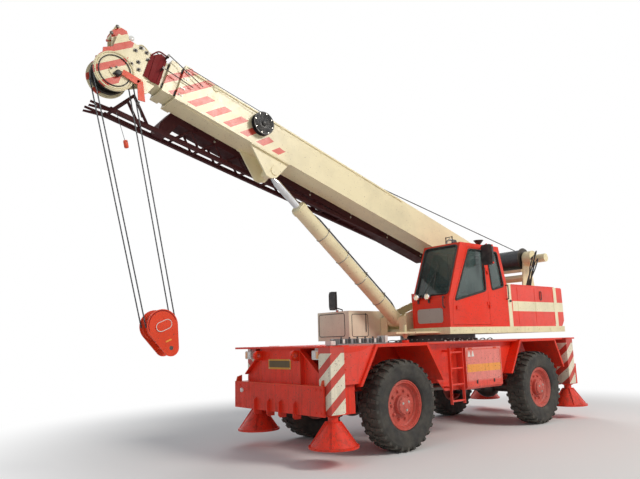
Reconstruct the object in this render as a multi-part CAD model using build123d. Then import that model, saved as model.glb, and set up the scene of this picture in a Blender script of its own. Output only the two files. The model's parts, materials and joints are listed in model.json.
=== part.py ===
"""Two-axle rough-terrain mobile crane with a slewing cab and a three-section telescopic boom.

Frame: +X forward, +Y left, +Z up, origin on the ground under the slew axis. Millimetres.
"""

import os
from build123d import *

# ---- running gear -------------------------------------------------------------------------
TYRE_R = 685            # over the lugs
TYRE_HALF = 200         # half the tyre's width
RIM_R = 372             # over the rim flange
RIM_FIT = 0.5           # between the tyre's bead seat and the rim
WHEEL_Y = 1050          # wheel centre from the middle plane
FRONT_AXLE_X = 2330
REAR_AXLE_X = -1530
KINGPIN_Y = 790         # steering axis from the middle plane
KINGPIN_R = 48
KNUCKLE_HALF = 165      # half the kingpin's length
AXLE_R = 120
DIFF_R = 250
FORK_T = 43             # thickness of a fork arm
FORK_GAP = 7            # between a fork arm and the kingpin's end
LUGS = 30               # tread blocks round each side of a tyre
LUG_H = 26
STUDS = 10

# ---- carrier ------------------------------------------------------------------------------
GIRDER_Y = 330          # outer face of each frame girder
GIRDER_T = 40
GIRDER_Z0 = 860
CROSS_T = 60
CROSS_Z0 = 1000
CROSS_Z1 = 1280
DECK_Z = 1610           # top of the deck
DECK_T = 30
DECK_HALF = 1190        # half the width of the full-width bays
MID_DECK_HALF = 478     # half the width of the strip between the fenders
BAY_GAP = 26            # between a bay and a fender's knee
FRONT_BOX_X = FRONT_AXLE_X + 1250   # joint plane between the two front tubes
REAR_BOX_X = REAR_AXLE_X - 1320     # joint plane between the two rear tubes
BOX_HALF = 1130         # half the width of an outrigger box
LAMP_IN = 170           # a lamp's outer edge from the outrigger box's end
TUBE_W = 280            # width of one outrigger tube along X
TUBE_Z0 = 650
TUBE_Z1 = 1060
TUBE_WALL = 20
TUBE_CUT = 140          # how far a tube is cut back for its jack
SLIDE_GAP = 7           # between a sliding beam and its tube
GUARD_T = 35            # plate across the front of the front box
GUARD_OVER = 10         # guard beyond each end of the box
FRONT_PLATE_X = 3800    # front face of the middle box
PLATE_T = 25
MIDDLE_HALF = 520       # half the width of the middle box
MIDDLE_DEPTH = 480
WING_HALF = 980         # outer end of a raked wing
WING_LOW = 1190
WING_HIGH = 1550
FLANGE_DEPTH = 95
LUG_Y = 480             # towing lugs
LUG_T = 50
LUG_R = 75
LUG_BORE = 32
LUG_Z = 1475
LUG_REACH = 85          # lug eye beyond the plate that carries it
GUSSETS = (-510, -150, 150, 510)

FENDER_T = 25
FENDER_IN = 480         # inner edge of a fender
FENDER_OUT = 1230
LIP_W = 25
LIP_T = 46
PANEL_Y = DECK_HALF     # outer face of the quarter panels
SIDE_Y = 1050           # outer face of the set-back side plates
SIDE_T = 15
FIT = 4                 # plate edge to a fender's back
TOOLBOX_X = (-240, 800)
TOOLBOX_Z = (800, 1500)
TOOLBOX_IN = 780
LADDER_X = (850, 1200)
LADDER_Z = (590, 1500)
LADDER_Y = (1165, 1215)
RUNGS = 4

# ---- outriggers ---------------------------------------------------------------------------
JACK_S = 256            # side of a square jack housing
JACK_Z0 = 680
JACK_Z1 = 1590
JACK_BORE = 78
JACK_CLEAR = 7          # between the housing and the cut-back tube
BEAM_WALL = 12
BEAM_STOP = 60          # beam's inner end from the tube's far end
LEG_R = 72
FOOT_R = 350
FOOT_Z0 = 240
FOOT_PAD = 30
FOOT_H = 300
FOOT_RIBS = 4

# ---- superstructure -----------------------------------------------------------------------
RING_R = 720
RING_BORE = 540
RING_GAP = 5
BASE_Z0 = 1735
BASE_Z1 = 1850
BASE_HALF = 1200
BASE_X1 = 1130
TAIL_X = -2690
WEIGHT_L = 300          # counterweight along X
NOSE_X1 = 1270
NOSE_HALF = 315
NOSE_Z1 = 1805
VALVE_X = (2560, 3560)  # outrigger valve bank
VALVES = 6
VALVE_PITCH = 160
VALVE_H = 90
LEVER_H = 25            # levers clear the turning base above them
PIN_X = 1700            # turntable lock pin
PIN_Y = 700
PIN_PIN_R = 28
SOCKET_R = 60
SOCKET_H = 45
TURRET_Y = 236          # inner face of each turret plate
TURRET_T = 40
FLANGE_IN = 150         # inner edge of a turret's front flange
FLANGE_T = 25

CAB_X0 = -660
CAB_X1 = 1110
CAB_Y0 = 375
CAB_Y1 = BASE_HALF      # cab and housings stand flush with the base
CAB_ROOF = 3345
CAB_WALL = 45
CAB_KNEE = (CAB_X1, 2330)           # X, Z where the windscreen starts
CAB_BROW = (690, CAB_ROOF)
CAB_BACK = (-470, CAB_ROOF)
CAB_HIP = (CAB_X0, 2640)
CAB_FLOOR = BASE_Z1 + CAB_WALL
GLASS_T = 8
DOOR_GAP = 6
HINGE_R = 14
CAB_SIDE = [
    (CAB_X0, BASE_Z1), (CAB_X1, BASE_Z1), CAB_KNEE, CAB_BROW, CAB_BACK, CAB_HIP,
]
DOOR = [(1040, 1885), (1000, 2310), (500, 3275), (-10, 3275), (-60, 1885)]
DOOR_WINDOW = [(945, 2305), (465, 3235), (50, 3235), (25, 2500)]
QUARTER_WINDOW = [(-75, 3225), (-395, 3235), (-545, 2600), (-170, 2520)]
HINGE_X = DOOR[-1][0] + 12
HINGE_Y = CAB_Y1 + HINGE_R + 2
HINGE_Z = (2180, 2800)
HINGE_H = 60
RIGHT_WINDOW = [(900, 2400), (480, 3225), (50, 3225), (25, 2500)]
SCREEN_REACH = (95, 1045)
BACK_REACH = (50, 640)
SCREEN_Y = (CAB_Y0 + 55, CAB_Y1 - 45)
BACK_Y = (CAB_Y0 + 110, CAB_Y1 - 110)
MIRROR_X = 130                      # rear face of the door's mirror
MIRROR_Z = (2960, 3300)
SEAT_Y = 780

REAR_X1 = CAB_X0 - 6
REAR_TOP = 2640
SHEET_T = 40            # wall of the rear housing
NOTCH_X0 = -1550        # rear end of the bay for the turret plates
SIDE_BOX_X = (-640, 2030)
SIDE_BOX_Y = (-1200, -325)
SIDE_BOX_Z0 = 1672
SIDE_BOX_Z1 = 2200
LOUVRES = 9

DRUM_X = -2430
DRUM_Z = 3320
DRUM_R = 200
DRUM_RIM = 248
DRUM_Y = (-350, 560)
DRUM_BEARING = 60
STAND_FOOT_H = 90

# ---- boom, in its own frame: u along the boom, w square to it, from the boom's pivot -------
BOOM_DEG = 17.1
PIVOT_X = -608
PIVOT_Z = 3187
PIVOT_R = 55
BORE_FIT = 0.05         # bore over pin, on the radius
BOOM_HALF = 220         # half the base section's width
BOOM_W0 = -20
BOOM_W1 = 525
BOOM_WALL = 14
SECTION_GAP = 21        # between the walls of one section and the next
BASE_U = (-260, 6600)
MID_U = (200, 6800)
TIP_U = (400, 7180)
TIP_CUT = 200           # the top section's floor stops short of the head
COLLAR_L = 120
COLLAR_T = 14
HEAD_U = 7453
HEAD_W = -82
CHEEK_R = 280
CHEEK_T = 20
SHEAVE_R = 250
SHEAVE_HALF = 24
SHEAVE_Y = 75           # sheaves from the middle plane
HEAD_PIN = 40

JIB_Y = (-640, -340)
JIB_TUBE = 60
JIB_U = (360, 7230)
JIB_TIP_W = -385        # lower chord at its front end
JIB_SLOPE = 0.0577      # rise of the lower chord towards its rear, per unit of length
JIB_ROOF = -60          # lower face of the box member
JIB_TOP = 170
JIB_BOX_U1 = 6370
JIB_LATTICE_U0 = 2300
JIB_PEAK = (6980, 20)   # top of the frame at the tip
JIB_BAR = 17            # radius of a lattice bar
JIB_BAYS = 9

# ---- lift cylinder ------------------------------------------------------------------------
FOOT_PIN = (1124, 2005)     # X, Z
ROD_PIN = (3970, 4347)      # X, Z of the eye on the boom
FOOT_PIN_R = 45
FOOT_EYE_R = 110
BARREL_R = 124
BARREL_WALL = 18
BARREL_L = 2930
BARREL_BASE = 130           # closed end of the bore from the foot pin
GLAND_L = 90
ROD_R = 60
ROD_GAP = 1
PISTON_L = 80
ROD_START = 650             # piston's lower face from the foot pin
EYE_R = 82
EYE_PIN_R = 42
EYE_GAP = 100               # the rod's end stops short of the eye's centre
ROD_TAPER = 220             # where the rod's end starts to narrow, from the eye's centre
ROD_END_R = 32
BRACKET_Y = 150             # inner face of each cylinder bracket
BRACKET_T = 30

# ---- hoist --------------------------------------------------------------------------------
LEAN_DEG = 12.8             # the falls lean back towards the carrier
FALLS_L = 3450              # head pin to block pin
ROPE_R = 9
ROPE_GAP = 1
BLOCK_R = 215
BLOCK_NOSE_R = 110
BLOCK_DROP = 320            # trunnion below the block's pin
BLOCK_TILT = 10             # degrees that the block hangs off the falls' line
BLOCK_HALF = 130
BLOCK_SHEAVE_R = 200
TRUNNION_R = 28
HOOK_DEG = 26               # hook's folded direction, from the falls' line
HOOK_SHANK = 26
HOOK_R = 60
HOOK_BAR = 24
HOOK_LENGTH = 190           # trunnion to the middle of the hook's bowl

PARTS = {}


# ---- helpers ------------------------------------------------------------------------------
def box(x0, x1, y0, y1, z0, z1):
    """A block between two corners."""
    middle = Pos((x0 + x1) / 2, (y0 + y1) / 2, (z0 + z1) / 2)
    return middle * Box(abs(x1 - x0), abs(y1 - y0), abs(z1 - z0))


def rod(p, q, r):
    """A round bar from p to q."""
    p = Vector(*p)
    q = Vector(*q)
    return Plane(origin=p, z_dir=(q - p)) * Cylinder(
        r, (q - p).length, align=(Align.CENTER, Align.CENTER, Align.MIN)
    )


def bar_y(x, z, y0, y1, r):
    """A round bar along Y."""
    return rod((x, y0, z), (x, y1, z), r)


def prism_y(points, y0, y1):
    """An outline of (x, z) points, extruded from y0 to y1."""
    face = make_face(Plane.XZ * Polyline(*points, close=True))
    return Pos(0, max(y0, y1), 0) * extrude(face, abs(y1 - y0), dir=(0, -1, 0))


def prism_x(points, x0, x1):
    """An outline of (y, z) points, extruded from x0 to x1."""
    face = make_face(Plane.YZ * Polyline(*points, close=True))
    return Pos(x0, 0, 0) * extrude(face, x1 - x0, dir=(1, 0, 0))


def prism_z(points, z0, z1):
    """An outline of (x, y) points, extruded from z0 to z1."""
    face = make_face(Polyline(*points, close=True))
    return Pos(0, 0, z0) * extrude(face, z1 - z0, dir=(0, 0, 1))


def mirror_y(shape):
    return mirror(shape, about=Plane.XZ)


def sided(shape, side):
    """A shape drawn for the left side, on the left (1) or on the right (-1)."""
    return shape if side > 0 else mirror_y(shape)


def slope(p, q, reach, depth):
    """Four (x, z) corners of a band along the line p-q: reach and depth are (from, to)."""
    p = Vector(*p)
    q = Vector(*q)
    along = (q - p).normalized()
    inward = Vector(-along.Y, along.X)
    corners = ((reach[0], depth[0]), (reach[1], depth[0]), (reach[1], depth[1]), (reach[0], depth[1]))
    places = [p + along * s + inward * t for s, t in corners]
    return [(v.X, v.Y) for v in places]


def on_boom(shape):
    """Place a shape drawn with u along X and w along Z on the raised boom."""
    return Pos(PIVOT_X, 0, PIVOT_Z) * Rot(0, -BOOM_DEG, 0) * shape


def keep(name, *shapes):
    PARTS[name] = list(shapes)


# ---- running gear -------------------------------------------------------------------------
def tyre(x, side):
    """A lugged tyre round the wheel centre, with its rim seat open."""
    h = TYRE_HALF
    r = TYRE_R - LUG_H
    seat = RIM_R - 30
    bead = RIM_R + 3
    half = [
        (seat, h * 0.62), (bead, h * 0.62), (bead, h * 0.72), (RIM_R + 50, h * 0.9),
        (r - 170, h), (r - 70, h * 0.97), (r, h * 0.8),
    ]
    other_half = [(a, -b) for a, b in reversed(half)]
    body = revolve(make_face(Polyline(*half, *other_half, close=True)), axis=Axis.Y)
    pitch = 360 / LUGS
    lug = Pos(r + LUG_H / 2 - 8, h * 0.45, 0) * Box(LUG_H + 16, h * 0.86, TYRE_R * 0.105)
    left_lugs = [Rot(0, k * pitch, 0) * lug for k in range(LUGS)]
    right_lugs = [Rot(0, (k + 0.5) * pitch, 0) * mirror_y(lug) for k in range(LUGS)]
    return Pos(x, side * WHEEL_Y, TYRE_R) * (body + left_lugs + right_lugs)


def rim(x, side):
    """A dished rim with its planetary hub and stud ring, drawn for the left side."""
    seat = RIM_R - 30 - RIM_FIT
    inner = seat - 10
    h = TYRE_HALF * 0.62
    dish = 20
    web = 40
    hub_r = 150
    outline = Polyline(
        (0, dish), (inner, dish), (inner, -h - 12), (RIM_R, -h - 12), (RIM_R, -h - 2),
        (seat, -h - 2), (seat, h + 2), (RIM_R, h + 2), (RIM_R, h + 12), (inner, h + 12),
        (inner - 30, dish + web), (hub_r, dish + web), (hub_r, 120), (hub_r - 30, 150), (0, 150),
        close=True,
    )
    body = revolve(make_face(outline), axis=Axis.Y)
    stud = Pos(hub_r + 65, dish + web + 12, 0) * Rot(90, 0, 0) * Cylinder(16, 44)
    body = body + [Rot(0, k * 360 / STUDS, 0) * stud for k in range(STUDS)]
    return Pos(x, side * WHEEL_Y, TYRE_R) * sided(body, side)


def knuckle(x, side):
    """A steering knuckle: kingpin, spindle and steering arm, drawn for the left side."""
    pin = Pos(0, KINGPIN_Y, 0) * Cylinder(KINGPIN_R, 2 * KNUCKLE_HALF)
    hub = rod((0, KINGPIN_Y, 0), (0, WHEEL_Y + 15, 0), AXLE_R)
    arm = box(-330, -40, KINGPIN_Y - 30, KINGPIN_Y + 40, -60, -20)
    return Pos(x, 0, TYRE_R) * sided(pin + hub + arm, side)


def axle(x, drive_side):
    """A drive axle: its beam, differential with the pinion nose, and the kingpin forks."""
    neck = KINGPIN_Y - 190
    beam = rod((0, -neck, 0), (0, neck, 0), AXLE_R)
    nose = rod((0, 0, 0), (drive_side * (DIFF_R + 130), 0, 0), 95)
    top = KNUCKLE_HALF + FORK_GAP
    half = [
        box(-90, 90, neck - 10, KINGPIN_Y + 60, top, top + FORK_T),
        box(-90, 90, neck - 10, KINGPIN_Y + 60, -top - FORK_T, -top),
        box(-90, 90, neck - 10, neck + 40, -top - FORK_T, top + FORK_T),
        box(-130, 130, GIRDER_Y - 80, GIRDER_Y - 40, 0, GIRDER_Z0 - TYRE_R),
    ]
    body = beam + Sphere(DIFF_R) + nose + half + [mirror_y(s) for s in half]
    body -= box(-400, 400, -neck - 300, neck + 300, GIRDER_Z0 - TYRE_R, GIRDER_Z0)
    return Pos(x, 0, TYRE_R) * body


def driveline():
    """The drop gearbox between the girders and the shafts to both axles."""
    gear_x = (420, 780)
    gear_z = 745
    shaft_r = 45
    case = box(*gear_x, -170, 170, 620, CROSS_Z0)
    case += rod((gear_x[0] - 40, 0, gear_z), (gear_x[1] + 40, 0, gear_z), 100)
    front_end = FRONT_AXLE_X - DIFF_R - 130
    rear_end = REAR_AXLE_X + DIFF_R + 130
    front = rod((gear_x[1] + 40, 0, gear_z), (front_end, 0, TYRE_R), shaft_r)
    rear = rod((gear_x[0] - 40, 0, gear_z), (rear_end, 0, TYRE_R), shaft_r)
    return case + front + rear - nose_space(front_end, 1) - nose_space(rear_end, -1)


def nose_space(x, side):
    """What lies beyond an axle's pinion nose."""
    return box(x, x + side * 200, -200, 200, TYRE_R - 200, TYRE_R + 200)


# ---- carrier ------------------------------------------------------------------------------
def carrier_frame():
    """Two girders, their cross members and the slew ring's pedestal."""
    top = DECK_Z - DECK_T
    x0 = REAR_BOX_X - TUBE_W + 10
    x1 = FRONT_PLATE_X - PLATE_T
    girder = box(x0, x1, GIRDER_Y - GIRDER_T, GIRDER_Y, GIRDER_Z0, top)
    crosses = [
        box(x - CROSS_T / 2, x + CROSS_T / 2, -GIRDER_Y + 1, GIRDER_Y - 1, CROSS_Z0, CROSS_Z1)
        for x in (REAR_AXLE_X - 970, -700, 600, FRONT_AXLE_X - 830, FRONT_AXLE_X + 870)
    ]
    pedestal = box(-650, 650, -GIRDER_Y + 1, GIRDER_Y - 1, CROSS_Z1 - 60, top)
    body = girder + mirror_y(girder) + crosses + pedestal
    for x in (FRONT_BOX_X, REAR_BOX_X):
        body -= box(x - TUBE_W, x + TUBE_W, -BOX_HALF, BOX_HALF, 0, TUBE_Z1)
    return body


def tow_lug(x, y, way):
    """A towing lug with its bore across the crane; way is 1 ahead and -1 behind."""
    eye = x + way * LUG_REACH
    lug = bar_y(eye, LUG_Z, y - LUG_T / 2, y + LUG_T / 2, LUG_R)
    lug += box(x, eye, y - LUG_T / 2, y + LUG_T / 2, LUG_Z - LUG_R, LUG_Z + LUG_R)
    return lug - bar_y(eye, LUG_Z, y - LUG_T, y + LUG_T, LUG_BORE)


def outrigger_box(x):
    """Two tubes side by side: the left beam runs in the front one, the right in the rear one."""
    body = box(x - TUBE_W, x + TUBE_W, -BOX_HALF, BOX_HALF, TUBE_Z0, TUBE_Z1)
    inner = TUBE_W / 2 - TUBE_WALL
    for side in (1, -1):
        cx = x + side * TUBE_W / 2
        mouth = side * (BOX_HALF + 10)
        body -= box(
            cx - inner, cx + inner, mouth, -side * (BOX_HALF - TUBE_WALL),
            TUBE_Z0 + TUBE_WALL, TUBE_Z1 - TUBE_WALL,
        )
        cut = side * (BOX_HALF - TUBE_CUT)
        body -= box(cx - TUBE_W / 2, cx + TUBE_W / 2, mouth, cut, TUBE_Z0 - 1, TUBE_Z1 + 1)
    return body


def outrigger_beam(x, side):
    """A sliding beam with its square jack housing at the outer end."""
    cx = x + side * TUBE_W / 2
    half = TUBE_W / 2 - TUBE_WALL - SLIDE_GAP
    z0 = TUBE_Z0 + TUBE_WALL + SLIDE_GAP
    z1 = TUBE_Z1 - TUBE_WALL - SLIDE_GAP
    y_jack = BOX_HALF - TUBE_CUT + JACK_CLEAR
    w = BEAM_WALL
    start = -BOX_HALF + BEAM_STOP
    beam = box(cx - half, cx + half, start, y_jack + 5, z0, z1)
    beam -= box(cx - half + w, cx + half - w, start - 1, y_jack - 5, z0 + w, z1 - w)
    yc = y_jack + JACK_S / 2
    jack = box(cx - JACK_S / 2, cx + JACK_S / 2, y_jack, y_jack + JACK_S, JACK_Z0, JACK_Z1)
    bore = Pos(cx, yc, (JACK_Z0 + JACK_Z1) / 2 - 60) * Cylinder(JACK_BORE, JACK_Z1 - JACK_Z0)
    return sided(beam + jack - bore, side)


def jack_leg(x, side):
    """A jack's round leg with its ribbed conical foot."""
    cx = x + side * TUBE_W / 2
    yc = side * (BOX_HALF - TUBE_CUT + JACK_CLEAR + JACK_S / 2)
    neck = LEG_R + 22
    leg = Pos(cx, yc, 0) * rod((0, 0, FOOT_Z0 + 60), (0, 0, JACK_Z1 - 150), LEG_R)
    cone = Pos(cx, yc, FOOT_Z0 + FOOT_PAD + FOOT_H / 2) * Cone(FOOT_R - 30, neck, FOOT_H)
    pad = Pos(cx, yc, FOOT_Z0 + FOOT_PAD / 2) * Cylinder(FOOT_R, FOOT_PAD)
    rib_top = FOOT_H + 20
    rib = prism_y([(0, 0), (FOOT_R - 12, 0), (neck + 18, rib_top), (0, rib_top)], -8, 8)
    turn = 360 / FOOT_RIBS
    place = Pos(cx, yc, FOOT_Z0 + FOOT_PAD - 2)
    ribs = [place * Rot(0, 0, 45 + k * turn) * rib for k in range(FOOT_RIBS)]
    return leg + cone + pad + ribs


FENDERS = (
    # axle x, foot ahead, knee ahead, knee behind, foot behind, foot z ahead, foot z behind
    (FRONT_AXLE_X, 950, 590, 570, 950, 1020, 1000),
    (REAR_AXLE_X, 990, 620, 650, 940, 1000, 1030),
)


def bent_plate(row, t, y0, y1):
    """A fender's bent section, t thick towards the wheel."""
    ax, foot_a, knee_a, knee_b, foot_b, low_a, low_b = row
    outer = [(ax + foot_a, low_a), (ax + knee_a, DECK_Z), (ax - knee_b, DECK_Z), (ax - foot_b, low_b)]
    inner = [
        (ax - foot_b + t, low_b), (ax - knee_b + t * 0.6, DECK_Z - t),
        (ax + knee_a - t * 0.6, DECK_Z - t), (ax + foot_a - t, low_a),
    ]
    return prism_y(outer + inner, y0, y1)


def fenders():
    """Bent-plate fenders over all four wheels, with thicker outer lips."""
    shapes = []
    for row in FENDERS:
        fender = bent_plate(row, FENDER_T, FENDER_IN, FENDER_OUT)
        fender += bent_plate(row, LIP_T, FENDER_OUT - LIP_W, FENDER_OUT)
        shapes += [fender, mirror_y(fender)]
    return shapes


def deck():
    """The deck plates: a middle strip, full-width bays, and the lock pin's socket."""
    z0 = DECK_Z - DECK_T
    x_rear = REAR_BOX_X - TUBE_W + 30
    x_front = FRONT_BOX_X + TUBE_W
    body = box(x_rear, x_front, -MID_DECK_HALF, MID_DECK_HALF, z0, DECK_Z)
    front, rear = FENDERS
    bays = (
        (front[0] + front[2] + BAY_GAP, x_front),
        (rear[0] + rear[2] + BAY_GAP, front[0] - front[3] - BAY_GAP),
        (x_rear + 40, rear[0] - rear[3] - BAY_GAP),
    )
    for x0, x1 in bays:
        body += box(x0, x1, -DECK_HALF, DECK_HALF, z0, DECK_Z)
    for x in (FRONT_BOX_X, REAR_BOX_X):
        for side in (1, -1):
            cx = x + side * TUBE_W / 2
            cut = side * (BOX_HALF - TUBE_CUT - 5)
            half = TUBE_W / 2 + 5
            body -= box(cx - half, cx + half, cut, side * 2 * BOX_HALF, z0 - 1, DECK_Z + 1)
    socket = Pos(PIN_X, PIN_Y, DECK_Z + SOCKET_H / 2) * Cylinder(SOCKET_R, SOCKET_H)
    socket -= Pos(PIN_X, PIN_Y, DECK_Z + SOCKET_H) * Cylinder(PIN_PIN_R + 4, 2 * SOCKET_H - 20)
    return body + socket


def front_panel():
    """Guard with its gussets, and the middle box with raked wings and towing lugs."""
    x0 = FRONT_BOX_X + TUBE_W
    x1 = x0 + GUARD_T
    guard = box(x0, x1, -BOX_HALF - GUARD_OVER, BOX_HALF + GUARD_OVER, TUBE_Z0, TUBE_Z1)
    rib = [
        (x1, 840), (x1 + 50, 800), (x1 + 50, 610), (x1 + 20, 580), (x1 - 90, 580), (x1 - 90, TUBE_Z0),
        (x1, TUBE_Z0),
    ]
    guard += [prism_y(rib, y - 9, y + 9) for y in GUSSETS]
    top = DECK_Z - DECK_T
    face = FRONT_PLATE_X
    back = face - PLATE_T
    middle = box(back, face, -MIDDLE_HALF, MIDDLE_HALF, TUBE_Z1, top)
    wall = box(face - MIDDLE_DEPTH, back, MIDDLE_HALF - PLATE_T, MIDDLE_HALF, TUBE_Z1, top)
    wing_x = face - FLANGE_DEPTH
    run = [(MIDDLE_HALF, WING_HIGH), (WING_HALF, WING_LOW)]
    wing = prism_x([(MIDDLE_HALF, TUBE_Z1), (WING_HALF, TUBE_Z1), *reversed(run)], wing_x, wing_x + 20)
    flange = prism_x([*run, (WING_HALF, WING_LOW - 20), (MIDDLE_HALF, WING_HIGH - 24)], wing_x, face)
    middle = middle + wall + mirror_y(wall) + wing + mirror_y(wing) + flange + mirror_y(flange)
    middle += [tow_lug(face, y, 1) for y in (LUG_Y, -LUG_Y)]
    return [guard, middle]


def rear_panel():
    """The plate across the back of the frame, with two towing lugs."""
    x1 = REAR_BOX_X - TUBE_W + 10
    plate = box(x1 - PLATE_T, x1, -MIDDLE_HALF, MIDDLE_HALF, TUBE_Z1, DECK_Z - DECK_T)
    return plate + [tow_lug(x1 - PLATE_T, y, -1) for y in (LUG_Y, -LUG_Y)]


def carrier_lamps():
    """Front headlamps under the deck's edge, a marker on the guard, and the tail lamps."""
    x = FRONT_PLATE_X
    y = BOX_HALF - LAMP_IN
    shapes = []
    for side in (1, -1):
        head = box(x - 60, x, y - 160, y, 1420, 1540)
        head += box(x - 50, x - 20, y - 120, y - 40, 1539, DECK_Z - DECK_T)
        shapes.append(sided(head, side))
        tail_x = REAR_BOX_X - TUBE_W
        shapes.append(sided(box(tail_x - 45, tail_x, y - 260, y, 900, 1010), side))
    guard_x = FRONT_BOX_X + TUBE_W + GUARD_T
    shapes.append(rod((guard_x, 45 - y, 930), (guard_x + 22, 45 - y, 930), 35))
    return shapes


def fender_line(row, ahead, z):
    """X of a fender's outer face at height z, ahead of or behind its wheel."""
    ax, foot_a, knee_a, knee_b, foot_b, low_a, low_b = row
    foot, knee, low = (foot_a, knee_a, low_a) if ahead else (-foot_b, -knee_b, low_b)
    return ax + foot + (knee - foot) * (z - low) / (DECK_Z - low)


def side_panels():
    """Quarter panels, set-back side plates, toolboxes and ladders on both sides."""
    top = DECK_Z - DECK_T
    front, rear = FENDERS
    shapes = []
    for side in (1, -1):
        jack_front = FRONT_BOX_X + side * TUBE_W / 2 - JACK_S / 2
        end = jack_front - 12
        low = max(TUBE_Z1, front[5])
        quarter = [
            (fender_line(front, True, low) + FIT, low), (end, low), (end, top),
            (fender_line(front, True, top) + FIT, top),
        ]
        shapes.append(sided(prism_y(quarter, PANEL_Y - PLATE_T, PANEL_Y), side))
        x_f = fender_line(front, False, top) - FIT
        x_r = fender_line(rear, True, top) + FIT
        plate = [
            (x_f, top), (fender_line(front, False, front[6]) - FIT, front[6]), (1180, 800), (820, 800),
            (fender_line(rear, True, rear[5]) + FIT, rear[5]), (x_r, top),
        ]
        side_plate = prism_y(plate, SIDE_Y - SIDE_T, SIDE_Y)
        side_plate -= box(*TOOLBOX_X, 0, 2 * SIDE_Y, *TOOLBOX_Z)
        shapes.append(sided(side_plate, side))
        toolbox = box(*TOOLBOX_X, TOOLBOX_IN, FENDER_OUT, *TOOLBOX_Z)
        toolbox = chamfer(toolbox.edges().filter_by(Axis.X).group_by(Axis.Z)[0], 40)
        shapes.append(sided(toolbox, side))
        shapes.append(sided(ladder(), side))
    return shapes


def ladder():
    """Two flat stiles with stand-off brackets and round rungs."""
    x0, x1 = LADDER_X
    z0, z1 = LADDER_Z
    y0, y1 = LADDER_Y
    body = [box(x, x + 14, y0, y1, z0, z1) for x in (x0, x1 - 14)]
    for x in (x0, x1 - 14):
        for z in (z0 + 260, z1 - 60):
            body.append(box(x, x + 14, SIDE_Y, y0 + 1, z, z + 30))
    step = (z1 - z0 - 120) / (RUNGS - 1)
    y_mid = (y0 + y1) / 2
    for k in range(RUNGS):
        z = z0 + 50 + k * step
        body.append(rod((x0 + 7, y_mid, z), (x1 - 7, y_mid, z), 16))
    whole = body[0]
    return whole + body[1:]


def valve_bank():
    """The outrigger control valves in a row on the left of the deck."""
    x0, x1 = VALVE_X
    base = box(x0, x1, 900, 1080, DECK_Z, DECK_Z + 18)
    top = DECK_Z + VALVE_H
    starts = [x0 + 30 + k * VALVE_PITCH for k in range(VALVES)]
    blocks = [box(x, x + 110, 920, 1060, DECK_Z + 10, top) for x in starts]
    rail = rod((x0, 930, top - 12), (x1, 930, top - 12), 12)
    levers = [rod((x + 55, 1040, top - 5), (x + 55, 1040, top + LEVER_H), 8) for x in starts]
    return base + blocks + rail + levers


def slew_ring():
    """The turntable bearing with its bolt flange."""
    z1 = BASE_Z0 - RING_GAP
    mid = (DECK_Z + z1) / 2
    ring = Pos(0, 0, mid) * Cylinder(RING_R, z1 - DECK_Z)
    ring += Pos(0, 0, DECK_Z + 18) * Cylinder(RING_R + 45, 36)
    return ring - Pos(0, 0, mid) * Cylinder(RING_BORE, 2 * DECK_Z)


# ---- superstructure -----------------------------------------------------------------------
TURRET = [
    (-1500, BASE_Z1 - 1), (NOSE_X1 - 55, BASE_Z1 - 1), (NOSE_X1 - 55, 2075), (1150, 2140),
    (960, 2200), (250, 2430), (-60, 2900), (-330, 3330), (-470, 3400), (-740, 3400), (-900, 3280),
    (-1360, 2500),
]


def turret_frame():
    """The base, and the two plates that carry the boom's pivot and the lift cylinder's foot."""
    base = box(TAIL_X, BASE_X1, -BASE_HALF, BASE_HALF, BASE_Z0, BASE_Z1)
    nose = box(BASE_X1 - 1, NOSE_X1, -NOSE_HALF, NOSE_HALF, BASE_Z0, NOSE_Z1)
    plate = prism_y(TURRET, TURRET_Y, TURRET_Y + TURRET_T)
    plate += box(BASE_X1, NOSE_X1 - 55, TURRET_Y, TURRET_Y + TURRET_T, NOSE_Z1 - 1, BASE_Z1)
    flange = box(NOSE_X1 - 56, NOSE_X1 - 30, FLANGE_IN, NOSE_HALF, NOSE_Z1 - 1, 2075)
    boss = bar_y(PIVOT_X, PIVOT_Z, TURRET_Y + TURRET_T - 1, TURRET_Y + TURRET_T + 24, 2 * PIVOT_R)
    foot = bar_y(*FOOT_PIN, FLANGE_IN, TURRET_Y + 1, FOOT_PIN_R + 35)
    half = plate + flange + boss + foot
    body = base + nose + half + mirror_y(half)
    body += box(-1460, -1430, -TURRET_Y - 1, TURRET_Y + 1, BASE_Z1 - 1, 2300)
    body += box(380, 420, -TURRET_Y - 1, TURRET_Y + 1, BASE_Z1 - 1, 2330)
    body += bar_y(*FOOT_PIN, -TURRET_Y - 5, TURRET_Y + 5, FOOT_PIN_R)
    body -= bar_y(PIVOT_X, PIVOT_Z, -400, 400, PIVOT_R + BORE_FIT)
    return body + lock_pin()


def lock_pin():
    """A plate from the base's front that carries the lifted turntable lock pin."""
    z0 = BASE_Z0 + 25
    outline = [(BASE_X1 - 20, 420), (PIN_X + 90, PIN_Y - 110), (PIN_X + 280, PIN_Y - 60),
               (PIN_X + 280, PIN_Y + 60), (PIN_X + 90, PIN_Y + 110), (BASE_X1 - 20, 1000)]
    plate = prism_z(outline, z0, z0 + 30)
    guide = Pos(PIN_X, PIN_Y, z0 - 20) * Cylinder(PIN_PIN_R + 16, 60)
    pin = rod((PIN_X, PIN_Y, DECK_Z + SOCKET_H + 25), (PIN_X, PIN_Y, 1910), PIN_PIN_R)
    return plate + guide + pin


def inset(points, d):
    """The same outline, moved in by d on every side."""
    face = make_face(Polyline(*points, close=True))
    wire = offset(face, -d, kind=Kind.INTERSECTION).face().outer_wire()
    return [(v.X, v.Y) for v in [e @ 0 for e in wire.order_edges()]]


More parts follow.
